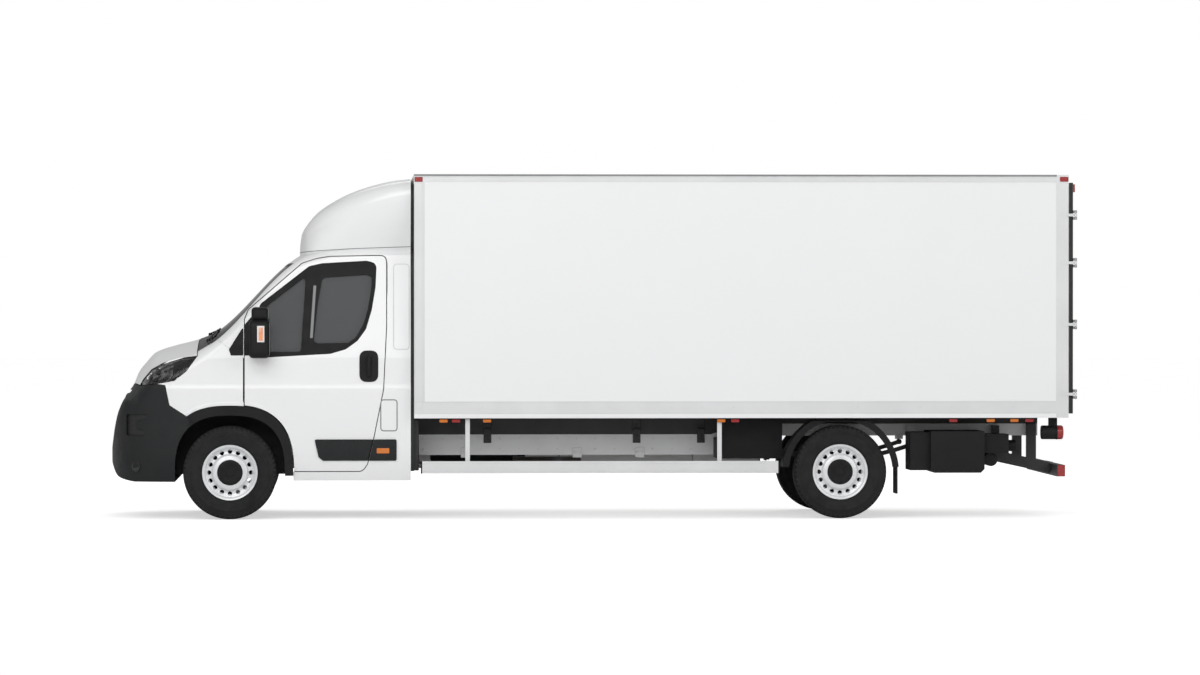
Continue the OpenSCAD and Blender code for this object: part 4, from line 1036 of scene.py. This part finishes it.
# Raised lip round the wheel arch, one piece on each panel that it crosses
for label, mount, keep in (("fender", "chassis", [(-600, 700), (-600, 1300), (DOOR_FRONT_U - 1, 1300),
        (DOOR_FRONT_U - 1, 700)]), ("door", "cab_door_{}", None)):
    lip = core(-4)
    clip(lip, across(arch(ARCH_OUT, 30), *PILLAR_SIDE))
    carve(lip, core(1))
    carve(lip, across(arch(ARCH_OUT, 0.2 if label == "fender" else DOOR_GAP), -1101, -699))
    clip(lip, across(keep if keep else door_line, -1101, -699))
    if keep:
        clip(lip, across(fender_line, -1101, -699))
    bevel(lip, 0.0035, 2, 40)
    smooth(lip, 40)
    both(lip, f"arch_lip_{label}", "white_paint", mount)

# Dark inner wall of the wheel housing
wall = across(arch(ARCH_IN, 6, 350), -578, -568)
carve(wall, brick((-800, -600, 0), (800, -500, 352)))
bevel(wall, 0.002, 1, 60)
smooth(wall, 40)
both(wall, "housing_wall", "black_plastic")

# Door handle: an oval shell with a grip in it
handle = [panel("plate", HANDLE, 7, *LEFT, d=-4, edge=2.5, cuts=[pressed(fillet([(1062, 1128), (1159, 1128),
    (1159, 1324), (1062, 1324)], 40), 0)])]
y_skin = -side_y(HALF_MM, 1226)
grip = rounded_rect(FRONT_X + 1.096, 1.140, FRONT_X + 1.128, 1.312, 0.014)
grip = extrude("grip", grip, "y", (y_skin - 26) * MM, (y_skin - 4) * MM)
bevel(grip, 0.006, 3, 50)
smooth(grip, 40)
for z in (1.152, 1.300):
    handle.append(block("foot", (FRONT_X + 1.100, (y_skin - 6) * MM, z - 0.012),
        (FRONT_X + 1.124, (y_skin + 6) * MM, z + 0.012), 0.003))
both(join("handle", handle + [grip]), "door_handle", "black_plastic", "cab_door_{}")

# Light strip on the window surround, beside the bar
run = panel("run", fillet([(640, 1452), (662, 1452), (690, 1872), (668, 1872)], 6), 1, *LEFT, d=-1.7,
    edge=0)
both(run, "glass_run", "seal_grey", "cab_door_{}")

# Black sail panels at the foot of the pillar, one on each side of the door gap
sail = panel("sail", SAIL, 5, *LEFT, d=-2.5, edge=1.5)
both(sail, "pillar_sail", "black_plastic")
sail = panel("sail", SAIL_DOOR, 5, *LEFT, d=-2.5, edge=1.5, keep=across(door_line))
both(sail, "door_sail", "black_plastic", "cab_door_{}")

# Mirrors: a long lower head and a small upper one on a thick arm, with an indicator and two glasses


def mirror_head(name, low, high, r):
    """A mirror shell: round-cornered in front view, well rounded at its front and rear edges."""
    body = extrude(name, rounded_rect(low[1], low[2], high[1], high[2], r, 8), "x", low[0], high[0])
    bevel(body, 0.03, 6, 50)
    smooth(body, 50)
    return body


lower = mirror_head("lower", (FRONT_X + 0.157, -1.247, 1.292), (FRONT_X + 0.318, -1.070, 1.600), 0.055)
upper = mirror_head("upper", (FRONT_X + 0.176, -1.228, 1.592), (FRONT_X + 0.308, -1.100, 1.700), 0.045)
neck = block("neck", (FRONT_X + 0.195, -1.190, 1.560), (FRONT_X + 0.280, -1.125, 1.610), 0.015, 3)
arm = extrude("arm", [(-1.140, 1.345), (-1.140, 1.425), (-1.010, 1.440), (-0.980, 1.400), (-0.980, 1.325),
    (-1.040, 1.318)], "x", FRONT_X + 0.165, FRONT_X + 0.225)
bevel(arm, 0.016, 3, 40)
smooth(arm, 40)
foot = panel("foot", fillet([(122, 1316), (238, 1316), (232, 1452), (150, 1452)], 22), 16, *LEFT, d=-14,
    edge=6)
carve(arm, core(-0.4))
shell = join("mirror", [lower, upper, neck, arm, foot])
glasses = [block("glass", (FRONT_X + 0.3182, -1.232, 1.315), (FRONT_X + 0.3205, -1.086, 1.575), 0.001, 1),
    block("glass", (FRONT_X + 0.3082, -1.214, 1.606), (FRONT_X + 0.3105, -1.114, 1.688), 0.001, 1)]
frame_lens = block("frame", (FRONT_X + 0.222, -1.2490, 1.420), (FRONT_X + 0.280, -1.2440, 1.550), 0.003)
blinker = block("blinker", (FRONT_X + 0.234, -1.2498, 1.432), (FRONT_X + 0.268, -1.2450, 1.538), 0.0015)
for part, base, mat, replaced in ((shell, "mirror_shell", "black_plastic", "mirror_{}"),
        (join("glasses", glasses), "mirror_glass", "mirror_glass", ""),
        (frame_lens, "mirror_blinker_frame", "plate_blank", ""),
        (blinker, "mirror_blinker", "blinker", "")):
    both(part, base, mat, "cab_door_{}",
        replaces=replaced)

# Wipers parked at the foot of the windscreen
wipers = []
for y0 in (-640, 40):
    wipers.append(sweep("arm", on_skin(spaced((-178, y0 - 40), (-110, y0 + 330), 8), 14), 0.007, 8))
    wipers.append(sweep("blade", on_skin(spaced((-128, y0 + 20), (-98, y0 + 600), 12), 7), 0.006, 8))
    wipers.append(lathe("pivot", [(0, 0), (0.018, 0), (0.016, 0.022), (0, 0.024)],
        on_skin([(-178, y0 - 40)], -4)[0], "z", 24))
finish(join("wipers", wipers), "wipers", "black_plastic")

# Fog lamps in the bumper's corners, and the blank number plate on its holder
for side_name, sign in SIDES:
    fog = lathe("fog", [(0, 0.0), (0.028, 0.0), (0.034, 0.006), (0.040, 0.006), (0.040, -0.030),
        (0, -0.030)], (0, 0, 0), "x", 40, -1)
    y_fog = (side_y(HALF_MM - CAB_CURVES[2](-752), 421) - 2) * MM
    turned(fog, -sign * math.radians(58), (FRONT_X - 0.752, sign * y_fog, 0.421), "Z")
    finish(fog, f"fog_lamp_{side_name}", "gloss_black")
plate = block("plate", (NOSE_X - 0.004, -0.26, 0.455), (NOSE_X - 0.0005, 0.26, 0.565), 0.001, 1)
finish(plate, "front_plate_blank", "plate_blank")
holder = block("holder", (NOSE_X - 0.0005, -0.268, 0.447), (NOSE_X + 0.03, 0.268, 0.573), 0.003)
finish(holder, "front_plate_holder", "black_plastic")

# ---------------------------------------------------------------- box body

SEAL_T = 0.0255
leaf_low, leaf_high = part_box("rear_door_left")


def side_block(x0, x1, z0, z1, y0, y1, r=0.0015):
    """A bevelled block on the left side; y0 and y1 are distances from the middle."""
    return block("block", (x0, -y1, z0), (x1, -y0, z1), r, 1)


def rivets(points):
    """A row of flat rivet heads facing left."""
    return join("rivets", [lathe("rivet", [(0, 0), (0.004, 0), (0.0032, 0.002), (0, 0.0024)], p, "y", 8, -1)
        for p in points])


# Rubber bellows between the cab, its fairing and the box
for label, outline_of, low_z in (("cab", half_section, 385), ("fairing", fairing_half, 2110)):
    rings = []
    for inset in (14, 70):
        half = outline_of(BACK_U, inset)
        rings.append([(y, max(z, low_z)) for y, z in half] + [(-y, max(z, low_z)) for y, z in half[-2::-1]])
    ring = along(rings[0], BACK_U + 0.3, BACK_U + SEAL_T / MM)
    carve(ring, along(rings[1], BACK_U - 1, BACK_U + 40))
    if label == "fairing":
        carve(ring, brick((0, -2000, 1900), (BACK_U + 60, 2000, 2126)))
    smooth(ring, 35)
    finish(ring, f"gap_bellows_{label}", "rubber_seal")

# Black block behind the cab, outside the frame rails: painted shade filling the gap under the box front
gap_shade_block = side_block(CAB_BACK_X + 0.001, CAB_BACK_X + 0.065, 0.390, 0.800, 0.470, 0.985, 0.004)
both(gap_shade_block, "cab_rear_gap_shade", "rubber_seal")

# Edge profiles: a bead on each rail, the dark drip rail along the roof edge and the pale lower strip
beads = []
for z0, z1 in ((0.846, 0.8515), (0.938, 0.9435), (2.738, 2.7425)):
    beads.append(side_block(BOX_X0 + 0.003, BOX_X1, z0, z1, BOX_HALF - 0.001, BOX_HALF + 0.0022, 0.001))
for x in (BOX_X0 + 0.066, BOX_X0 + 0.004):
    beads.append(side_block(x, x + 0.004, 0.86, 2.735, BOX_HALF - 0.001, BOX_HALF + 0.0018, 0.001))
both(join("beads", beads), "profile_bead", "anodised")
drip = side_block(BOX_X0 - 0.002, BOX_X1 + 0.002, BOX_TOP - 0.013, BOX_TOP + 0.001, BOX_HALF - 0.002,
    BOX_HALF + 0.004, 0.0015)
both(drip, "drip_rail", "seal_grey")
skirt = side_block(BOX_X0 + 0.002, BOX_X1 - 0.001, BOX_LOW + 0.001, 0.845, BOX_HALF - 0.001, BOX_HALF +
    0.0012, 0.0008)
both(skirt, "lower_strip", "white_paint")
heads = [(x, -BOX_HALF - 0.0018, z) for z in (0.897, 2.722) for x in
    [BOX_X0 + 0.05 + 0.2505 * k for k in range(21)]]
both(rivets(heads), "profile_rivets", "anodised")
front_bead = block("bead", (BOX_X0 - 0.0025, -BOX_HALF + 0.07, BOX_TOP - 0.075),
    (BOX_X0 + 0.001, BOX_HALF - 0.07, BOX_TOP - 0.004), 0.002)
finish(front_bead, "front_top_bead", "anodised")

# Marker lamps on the box: dark red at the top corners, and a row along the lower edge
tops = [side_block(BOX_X0 + 0.004, BOX_X0 + 0.068, 2.700, 2.738, BOX_HALF, BOX_HALF + 0.007, 0.003),
    side_block(BOX_X1 + 0.028, BOX_X1 + 0.096, 2.706, 2.744, BOX_HALF, BOX_HALF + 0.007, 0.003)]
both(join("tops", tops), "top_marker", "lamp_red")
for label, mat, xs in (("amber", "lamp_amber", (-1.240, -0.892, 0.985, 3.154, 3.345)),
        ("red", "lamp_red", (-1.140, 1.097, 2.852, 3.466))):
    lamps = [side_block(x, x + 0.066, 0.776, 0.802, 1.052, 1.078, 0.004) for x in xs]
    both(join("lamps", lamps), f"edge_marker_{label}", mat)
hangers = [side_block(x, x + 0.066, 0.798, 0.812, 1.040, 1.070, 0.002) for x in
    (-1.240, -1.140, -0.892, 0.985, 1.097, 2.852, 3.154, 3.345, 3.466)]
both(join("hangers", hangers), "marker_bracket", "black_plastic")

# Rear doors: leaf with an aluminium edge and a rubber seal, strap hinges, lock rods and handle
LEAF_X0, LEAF_X1 = leaf_low[0], leaf_low[0] + 0.030
LEAF_Y0, LEAF_Y1 = BOX_HALF - 0.012, 0.004
LEAF_Z0, LEAF_Z1 = leaf_low[2], leaf_high[2]
HINGE_X, HINGE_Y, ROD_X, ROD_Y = LEAF_X1 + 0.020, BOX_HALF + 0.018, LEAF_X1 + 0.016, 0.150
HINGE_ZS = (1.000, 1.560, 2.055, 2.438)
leaf = block("leaf", (LEAF_X0, -LEAF_Y0, LEAF_Z0), (LEAF_X1, -LEAF_Y1, LEAF_Z1), 0.003)
edges = [block("edge", (LEAF_X1 - 0.002, y0, z0), (LEAF_X1 + 0.0025, y1, z1), 0.001, 1) for y0, y1, z0, z1
    in ((-LEAF_Y0, -LEAF_Y0 + 0.045, LEAF_Z0, LEAF_Z1), (-LEAF_Y1 - 0.045, -LEAF_Y1, LEAF_Z0, LEAF_Z1),
    (-LEAF_Y0 + 0.045, -LEAF_Y1 - 0.045, LEAF_Z0, LEAF_Z0 + 0.06),
    (-LEAF_Y0 + 0.045, -LEAF_Y1 - 0.045, LEAF_Z1 - 0.05, LEAF_Z1))]
seals = [block("seal", (LEAF_X0 + 0.001, -LEAF_Y0 - 0.0045, LEAF_Z0),
    (LEAF_X1 + 0.001, -LEAF_Y0 - 0.0002, LEAF_Z1), 0.001, 1), block("seal",
    (LEAF_X1 - 0.004, -LEAF_Y1 - 0.012, LEAF_Z0), (LEAF_X1 + 0.005, -LEAF_Y1 + 0.0018, LEAF_Z1), 0.002, 1)]
straps = []
for z in HINGE_ZS:
    straps.append(lathe("pin", [(0, -0.040), (0.005, -0.040), (0.005, 0.040), (0, 0.040)],
        (HINGE_X, -HINGE_Y, z), "z", 16))
    for z0 in (z - 0.0375, z + 0.0155):
        straps.append(lathe("barrel", [(0.004, 0), (0.011, 0), (0.011, 0.022), (0.004, 0.022)],
            (HINGE_X, -HINGE_Y, z0), "z", 24))
        strap = extrude("strap", [(LEAF_X1 + 0.0026, -HINGE_Y + 0.006), (LEAF_X1 + 0.012, -HINGE_Y + 0.006),
            (LEAF_X1 + 0.012, -HINGE_Y + 0.150), (LEAF_X1 + 0.0026, -HINGE_Y + 0.158)], "z", z0, z0 + 0.022)
        bevel(strap, 0.001, 1)
        straps.append(strap)
        for y in (-HINGE_Y + 0.060, -HINGE_Y + 0.120):
            straps.append(bolt("bolt", (LEAF_X1 + 0.012, y, z0 + 0.011), 0.007, 0.005, "x", 6))
rods = [lathe("rod", [(0, 0), (0.012, 0), (0.012, LEAF_Z1 - LEAF_Z0 - 0.02), (0, LEAF_Z1 - LEAF_Z0 - 0.02)],
    (ROD_X, -ROD_Y, LEAF_Z0 + 0.01), "z", 20)]
for k in range(5):
    z0 = LEAF_Z0 + 0.060 + k * (LEAF_Z1 - LEAF_Z0 - 0.160) / 4
    rods.append(block("guide", (LEAF_X1, -ROD_Y - 0.020, z0), (ROD_X + 0.015, -ROD_Y + 0.020, z0 + 0.040),
        0.004))
    for y in (-ROD_Y - 0.032, -ROD_Y + 0.032):
        rods.append(block("ear", (LEAF_X1, y - 0.013, z0 + 0.006), (LEAF_X1 + 0.005, y + 0.013, z0 + 0.034),
            0.002))
for z0, z1 in ((LEAF_Z0 + 0.008, LEAF_Z0 + 0.045), (LEAF_Z1 - 0.045, LEAF_Z1 - 0.008)):
    rods.append(block("cam", (LEAF_X1 + 0.004, -ROD_Y - 0.026, z0), (ROD_X + 0.014, -ROD_Y + 0.026, z1),
        0.003))
lever = [block("lever", (ROD_X + 0.001, -ROD_Y - 0.360, 1.056), (ROD_X + 0.0165, -ROD_Y + 0.014, 1.084),
    0.006), block("hub", (ROD_X - 0.013, -ROD_Y - 0.022, 1.048), (ROD_X + 0.015, -ROD_Y + 0.022, 1.092),
    0.004), block("catch", (LEAF_X1, -ROD_Y - 0.330, 1.040), (ROD_X + 0.003, -ROD_Y - 0.290, 1.100), 0.004)]
corner = block("corner", (LEAF_X1, -LEAF_Y0 + 0.012, 2.622), (LEAF_X1 + 0.020, -LEAF_Y0 + 0.080, 2.686),
    0.004)
for part, base, mat, replaced in ((leaf, "rear_leaf", "box_panel", "rear_door_{}"),
        (join("edges", edges), "leaf_edge", "anodised", ""), (join("seals", seals), "leaf_seal",
        "rubber_seal", ""), (join("straps", straps), "leaf_hinges", "steel", ""),
        (join("rods", rods), "lock_rod", "steel", ""), (join("lever", lever), "lock_lever", "black_plastic",
        ""), (corner, "leaf_marker", "lamp_red", "")):
    both(part, base, mat, "box_door_{}", replaces=replaced)

# ---------------------------------------------------------------- under the box

RAIL_Y = 0.450
bolts = []
for x in [-1.36 + 0.155 * k for k in range(15)]:
    for z in (0.545, 0.628):
        bolts.append(bolt("bolt", (x, -RAIL_Y, z), 0.009, 0.007, "-y"))
for x0 in (-1.056, -0.148, 0.36):
    bolts.append(side_block(x0, x0 + 0.074, 0.478, 0.560, RAIL_Y, RAIL_Y + 0.008, 0.002))
    for dx in (0.018, 0.056):
        bolts.append(bolt("bolt", (x0 + dx, -RAIL_Y - 0.008, 0.522), 0.010, 0.008, "-y"))
both(join("bolts", bolts), "rail_bolts", "frame_grey")
hung = []
for x0 in (-0.872, 0.340, 0.862):
    hung.append(side_block(x0, x0 + 0.062, 0.596, 0.800, RAIL_Y + 0.001, RAIL_Y + 0.010, 0.002))
    hung.append(side_block(x0 + 0.004, x0 + 0.058, 0.700, 0.712, RAIL_Y + 0.008, RAIL_Y + 0.055, 0.002))
    for z in (0.622, 0.652, 0.745):
        hung.append(bolt("bolt", (x0 + 0.031, -RAIL_Y - 0.010, z), 0.010, 0.008, "-y"))
both(join("hung", hung), "body_hanger", "frame_black")
guard_low, guard_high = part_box("side_guards")
caps = [side_block(x0, x0 + 0.012, guard_low[2] - 0.002, guard_low[2] + 0.100, -guard_low[1] - 0.030,
    -guard_low[1] + 0.002, 0.003) for x0 in (guard_low[0] - 0.004, guard_high[0] - 0.008)]
both(join("caps", caps), "guard_cap", "black_plastic")
grooves = [side_block(guard_low[0] + 0.01, guard_high[0] - 0.01, z, z + 0.004, -guard_low[1] - 0.001,
    -guard_low[1] + 0.0015, 0.001) for z in (0.384, 0.446)]
both(join("grooves", grooves), "guard_bead", "anodised")

# Rear lamps: black cylinder with a red lens at its end, on a bracket
lamp_low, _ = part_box("tail_lamps")
LAMP_R = 0.058
LAMP_Y, LAMP_Z = -lamp_low[1] - LAMP_R, lamp_low[2] + LAMP_R
body = lathe("body", [(0, 0), (0.050, 0), (0.056, 0.006), (0.056, 0.118), (LAMP_R, 0.121), (LAMP_R, 0.128),
    (0, 0.128)], (lamp_low[0], -LAMP_Y, LAMP_Z), "x", 48)
rod = side_block(lamp_low[0] + 0.060, lamp_low[0] + 0.130, LAMP_Z + 0.01, BOX_LOW, LAMP_Y - 0.015, LAMP_Y +
    0.015, 0.003)
lens = lathe("lens", [(0, 0.1285), (0.057, 0.1285), (0.057, 0.166), (0.050, 0.176), (0.030, 0.180),
    (0.026, 0.177), (0, 0.177)], (lamp_low[0], -LAMP_Y, LAMP_Z), "x", 48)
both(join("lamp", [body, rod]), "tail_lamp_body", "black_plastic")
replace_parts(both(lens, "tail_lamp_lens", "lamp_red")[0], "tail_lamps")
bar_low, bar_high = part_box("underrun_bar")
ends = side_block(bar_high[0] - 0.058, bar_high[0] + 0.002, 0.337, 0.428, -bar_low[1] - 0.004, -bar_low[1] +
    0.003, 0.002)
both(ends, "underrun_marker", "lamp_red")
plate = block("plate", (bar_high[0] + 0.0005, -0.22, 0.333), (bar_high[0] + 0.003, 0.22, 0.430), 0.0008, 1)
finish(plate, "rear_plate_blank", "plate_blank")

# ---------------------------------------------------------------- seats and dashboard

SEAT_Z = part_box("driver_seat")[0][2]


def cushion(name, outline, y0, y1, seams=(), cap=0.016):
    """A padded form: an outline (u, z above the seat's base) made solid, inflated as cloth and seamed."""
    slim = offset(outline, -10)
    obj = extrude(name, [(FRONT_X + u * MM, SEAT_Z + z * MM) for u, z in slim], "y", y0 + 0.010, y1 - 0.010)
    bevel(obj, 0.028, 3, 40)
    mod = obj.modifiers.new("remesh", "REMESH")
    mod.mode = "VOXEL"
    mod.voxel_size = 0.011
    apply_modifiers(obj)
    rest = [v.co.copy() for v in obj.data.vertices]
    mod = obj.modifiers.new("cloth", "CLOTH")
    mod.settings.use_pressure = True
    mod.settings.uniform_pressure_force = 4
    mod.settings.quality = 4
    mod.settings.effector_weights.gravity = 0
    for step in range(1, 21):
        bpy.context.scene.frame_set(step)
    apply_modifiers(obj)
    bpy.context.scene.frame_set(1)
    for vert, start in zip(obj.data.vertices, rest):
        moved = vert.co - start
        if moved.length > cap:
            vert.co = start + moved * (cap / moved.length)
    mod = obj.modifiers.new("soft", "SMOOTH")
    mod.factor = 0.5
    mod.iterations = 4
    apply_modifiers(obj)
    mod = obj.modifiers.new("fine", "SUBSURF")
    mod.levels = 1
    apply_modifiers(obj)
    normals = [v.normal.copy() for v in obj.data.vertices]
    for vert, normal in zip(obj.data.vertices, normals):
        dip = max([math.exp(-((vert.co.y - y) / 0.007) ** 2) for y in seams] + [0])
        vert.co -= normal * 0.007 * dip
    obj.data.shade_smooth()
    obj.name = name
    paint(obj, "seat_fabric")
    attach(obj, "chassis")
    return obj


SEAT = [(600, 2), (600, 105), (625, 130), (1072, 130), (1120, 60), (1100, 2)]
BACK = [(1085, 132), (1225, 690), (1340, 690), (1195, 60), (1130, 60)]
HEAD = [(1250, 722), (1285, 885), (1355, 870), (1322, 716)]
for node_name, label, places in (("driver_seat", "driver", [0.5]),
        ("passenger_bench", "passenger", [0.26, 0.74])):
    (_, y0, _), (_, y1, _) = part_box(node_name)
    width = y1 - y0
    seams = [y0 + width * k for k in ((0.26, 0.74) if label == "driver" else (0.14, 0.38, 0.5, 0.62, 0.86))]
    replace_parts(cushion(f"{label}_cushion", SEAT, y0, y1, seams), node_name)
    cushion(f"{label}_backrest", BACK, y0, y1, seams)
    for n, at in enumerate(places):
        middle = y0 + width * at
        cushion(f"{label}_headrest_{n + 1}", HEAD, middle - 0.13, middle + 0.13, cap=0.010)
        pins = [sweep("pin", [(FRONT_X + 1.282, y, SEAT_Z + 0.66), (FRONT_X + 1.290, y, SEAT_Z + 0.75)],
            0.006, 8) for y in (middle - 0.05, middle + 0.05)]
        finish(join("pins", pins), f"{label}_headrest_pins_{n + 1}", "steel")

# Dashboard: rounded body with a hooded instrument panel, centre stack, vents and glove box
VENTS_Y = (-790, -250, 120, 700)
DASH = fillet([(FIREWALL_U + 2, 1002), (FIREWALL_U + 2, 1372), (-40, 1416), (128, 1348), (203, 1268),
    (212, 1132), (128, 1002)], 30)
dash = across(DASH, -878, 878)
for y in VENTS_Y:
    carve(dash, brick((150, y - 62, 1262), (320, y + 62, 1312)))
carve(dash, brick((196, 260, 1140), (330, 640, 1146)))
bevel(dash, 0.006, 2, 40)
smooth(dash, 35)
finish(dash, "dashboard_body", "vinyl", replaces=["dashboard"])
extras = []
for y in VENTS_Y:
    for z in (1268, 1279, 1290, 1301):
        extras.append(block("vane", (FRONT_X + 0.160, (y - 60) * MM, z * MM),
            (FRONT_X + 0.196, (y + 60) * MM, (z + 3) * MM), 0.001, 1))
hood_line = fillet([(60, 1376), (120, 1430), (205, 1400), (216, 1360), (160, 1340), (100, 1352)], 14)
binnacle = across(hood_line, -640, -320)
bevel(binnacle, 0.012, 3, 40)
smooth(binnacle, 40)
stack = across(fillet([(190, 1010), (236, 1130), (226, 1300), (196, 1322), (120, 1300), (120, 1010)], 16),
    -190, 60)
bevel(stack, 0.010, 3, 40)
smooth(stack, 40)
finish(join("dash_trim", extras + [binnacle, stack]), "dashboard_trim", "black_plastic")

# ---------------------------------------------------------------- camera, light and floor


def build_stage():
    """A camera at the photograph's angle, soft light and a pale floor that keeps the shadow."""
    scene = bpy.context.scene
    scene.view_settings.view_transform = "Standard"
    cam = bpy.data.cameras.new("camera")
    cam.sensor_width = 36
    cam.clip_end = 200
    cam_obj = bpy.data.objects.new("camera", cam)
    scene.collection.objects.link(cam_obj)
    near_y = -BOX_HALF
    eye = Vector((-1.956, near_y - 44.0, 1.756))
    aim = Vector((0.044, near_y, 1.456))
    cam.lens = 36 * (aim - eye).length / 9.6
    cam_obj.location = eye
    cam_obj.rotation_euler = (aim - eye).to_track_quat("-Z", "Y").to_euler()
    scene.camera = cam_obj

    # The world is plain white to the camera and through glass, and dimmer as a light
    world = bpy.data.worlds.new("world")
    scene.world = world
    world.use_nodes = True
    tree = world.node_tree
    tree.nodes.clear()
    rays = add_node(tree, "LightPath").outputs
    seen = add_node(tree, "Math", feeds={0: rays["Is Camera Ray"], 1: rays["Is Transmission Ray"]})
    seen.operation = "MAXIMUM"
    level = add_node(tree, "MapRange", {"To Min": 0.48, "To Max": 1.0}, {"Value": seen.outputs["Value"]})
    sky = add_node(tree, "Background", {"Color": (1, 1, 1, 1)}, {"Strength": level.outputs["Result"]})
    add_node(tree, "OutputWorld", feeds={"Surface": sky.outputs["Background"]})

    for name, place, size, power in (("key", (-5, -15, 8), 10, 1000), ("fill", (9, -12, 6), 9, 380),
            ("back", (0, 10, 10), 9, 300)):
        light = bpy.data.lights.new(name, "AREA")
        light.energy = power
        light.size = size
        lamp = bpy.data.objects.new(name, light)
        scene.collection.objects.link(lamp)
        lamp.location = place
        lamp.rotation_euler = (Vector((0, 0, 1)) - Vector(place)).to_track_quat("-Z", "Y").to_euler()

    floor = new_object("floor", [(-90, -60, 0), (90, -60, 0), (90, 120, 0), (-90, 120, 0)], [(0, 1, 2, 3)])
    mat, tree, shader = node_material("floor")
    for socket, value in (("Base Color", (0.95, 0.95, 0.95, 1)), ("Roughness", 0.95),
            ("Specular IOR Level", 0.1)):
        shader.inputs[socket].default_value = value
    lift = add_node(tree, "Math", {1: 0.54}, {0: add_node(tree, "LightPath").outputs["Is Camera Ray"]})
    lift.operation = "MULTIPLY"
    glow = add_node(tree, "Emission", feeds={"Strength": lift.outputs["Value"]})
    lifted = add_node(tree, "AddShader", feeds={0: shader.outputs["BSDF"], 1: glow.outputs["Emission"]})
    out = next(n for n in tree.nodes if n.type == "OUTPUT_MATERIAL")
    tree.links.new(lifted.outputs["Shader"], out.inputs["Surface"])
    floor.data.materials.append(mat)


build_stage()
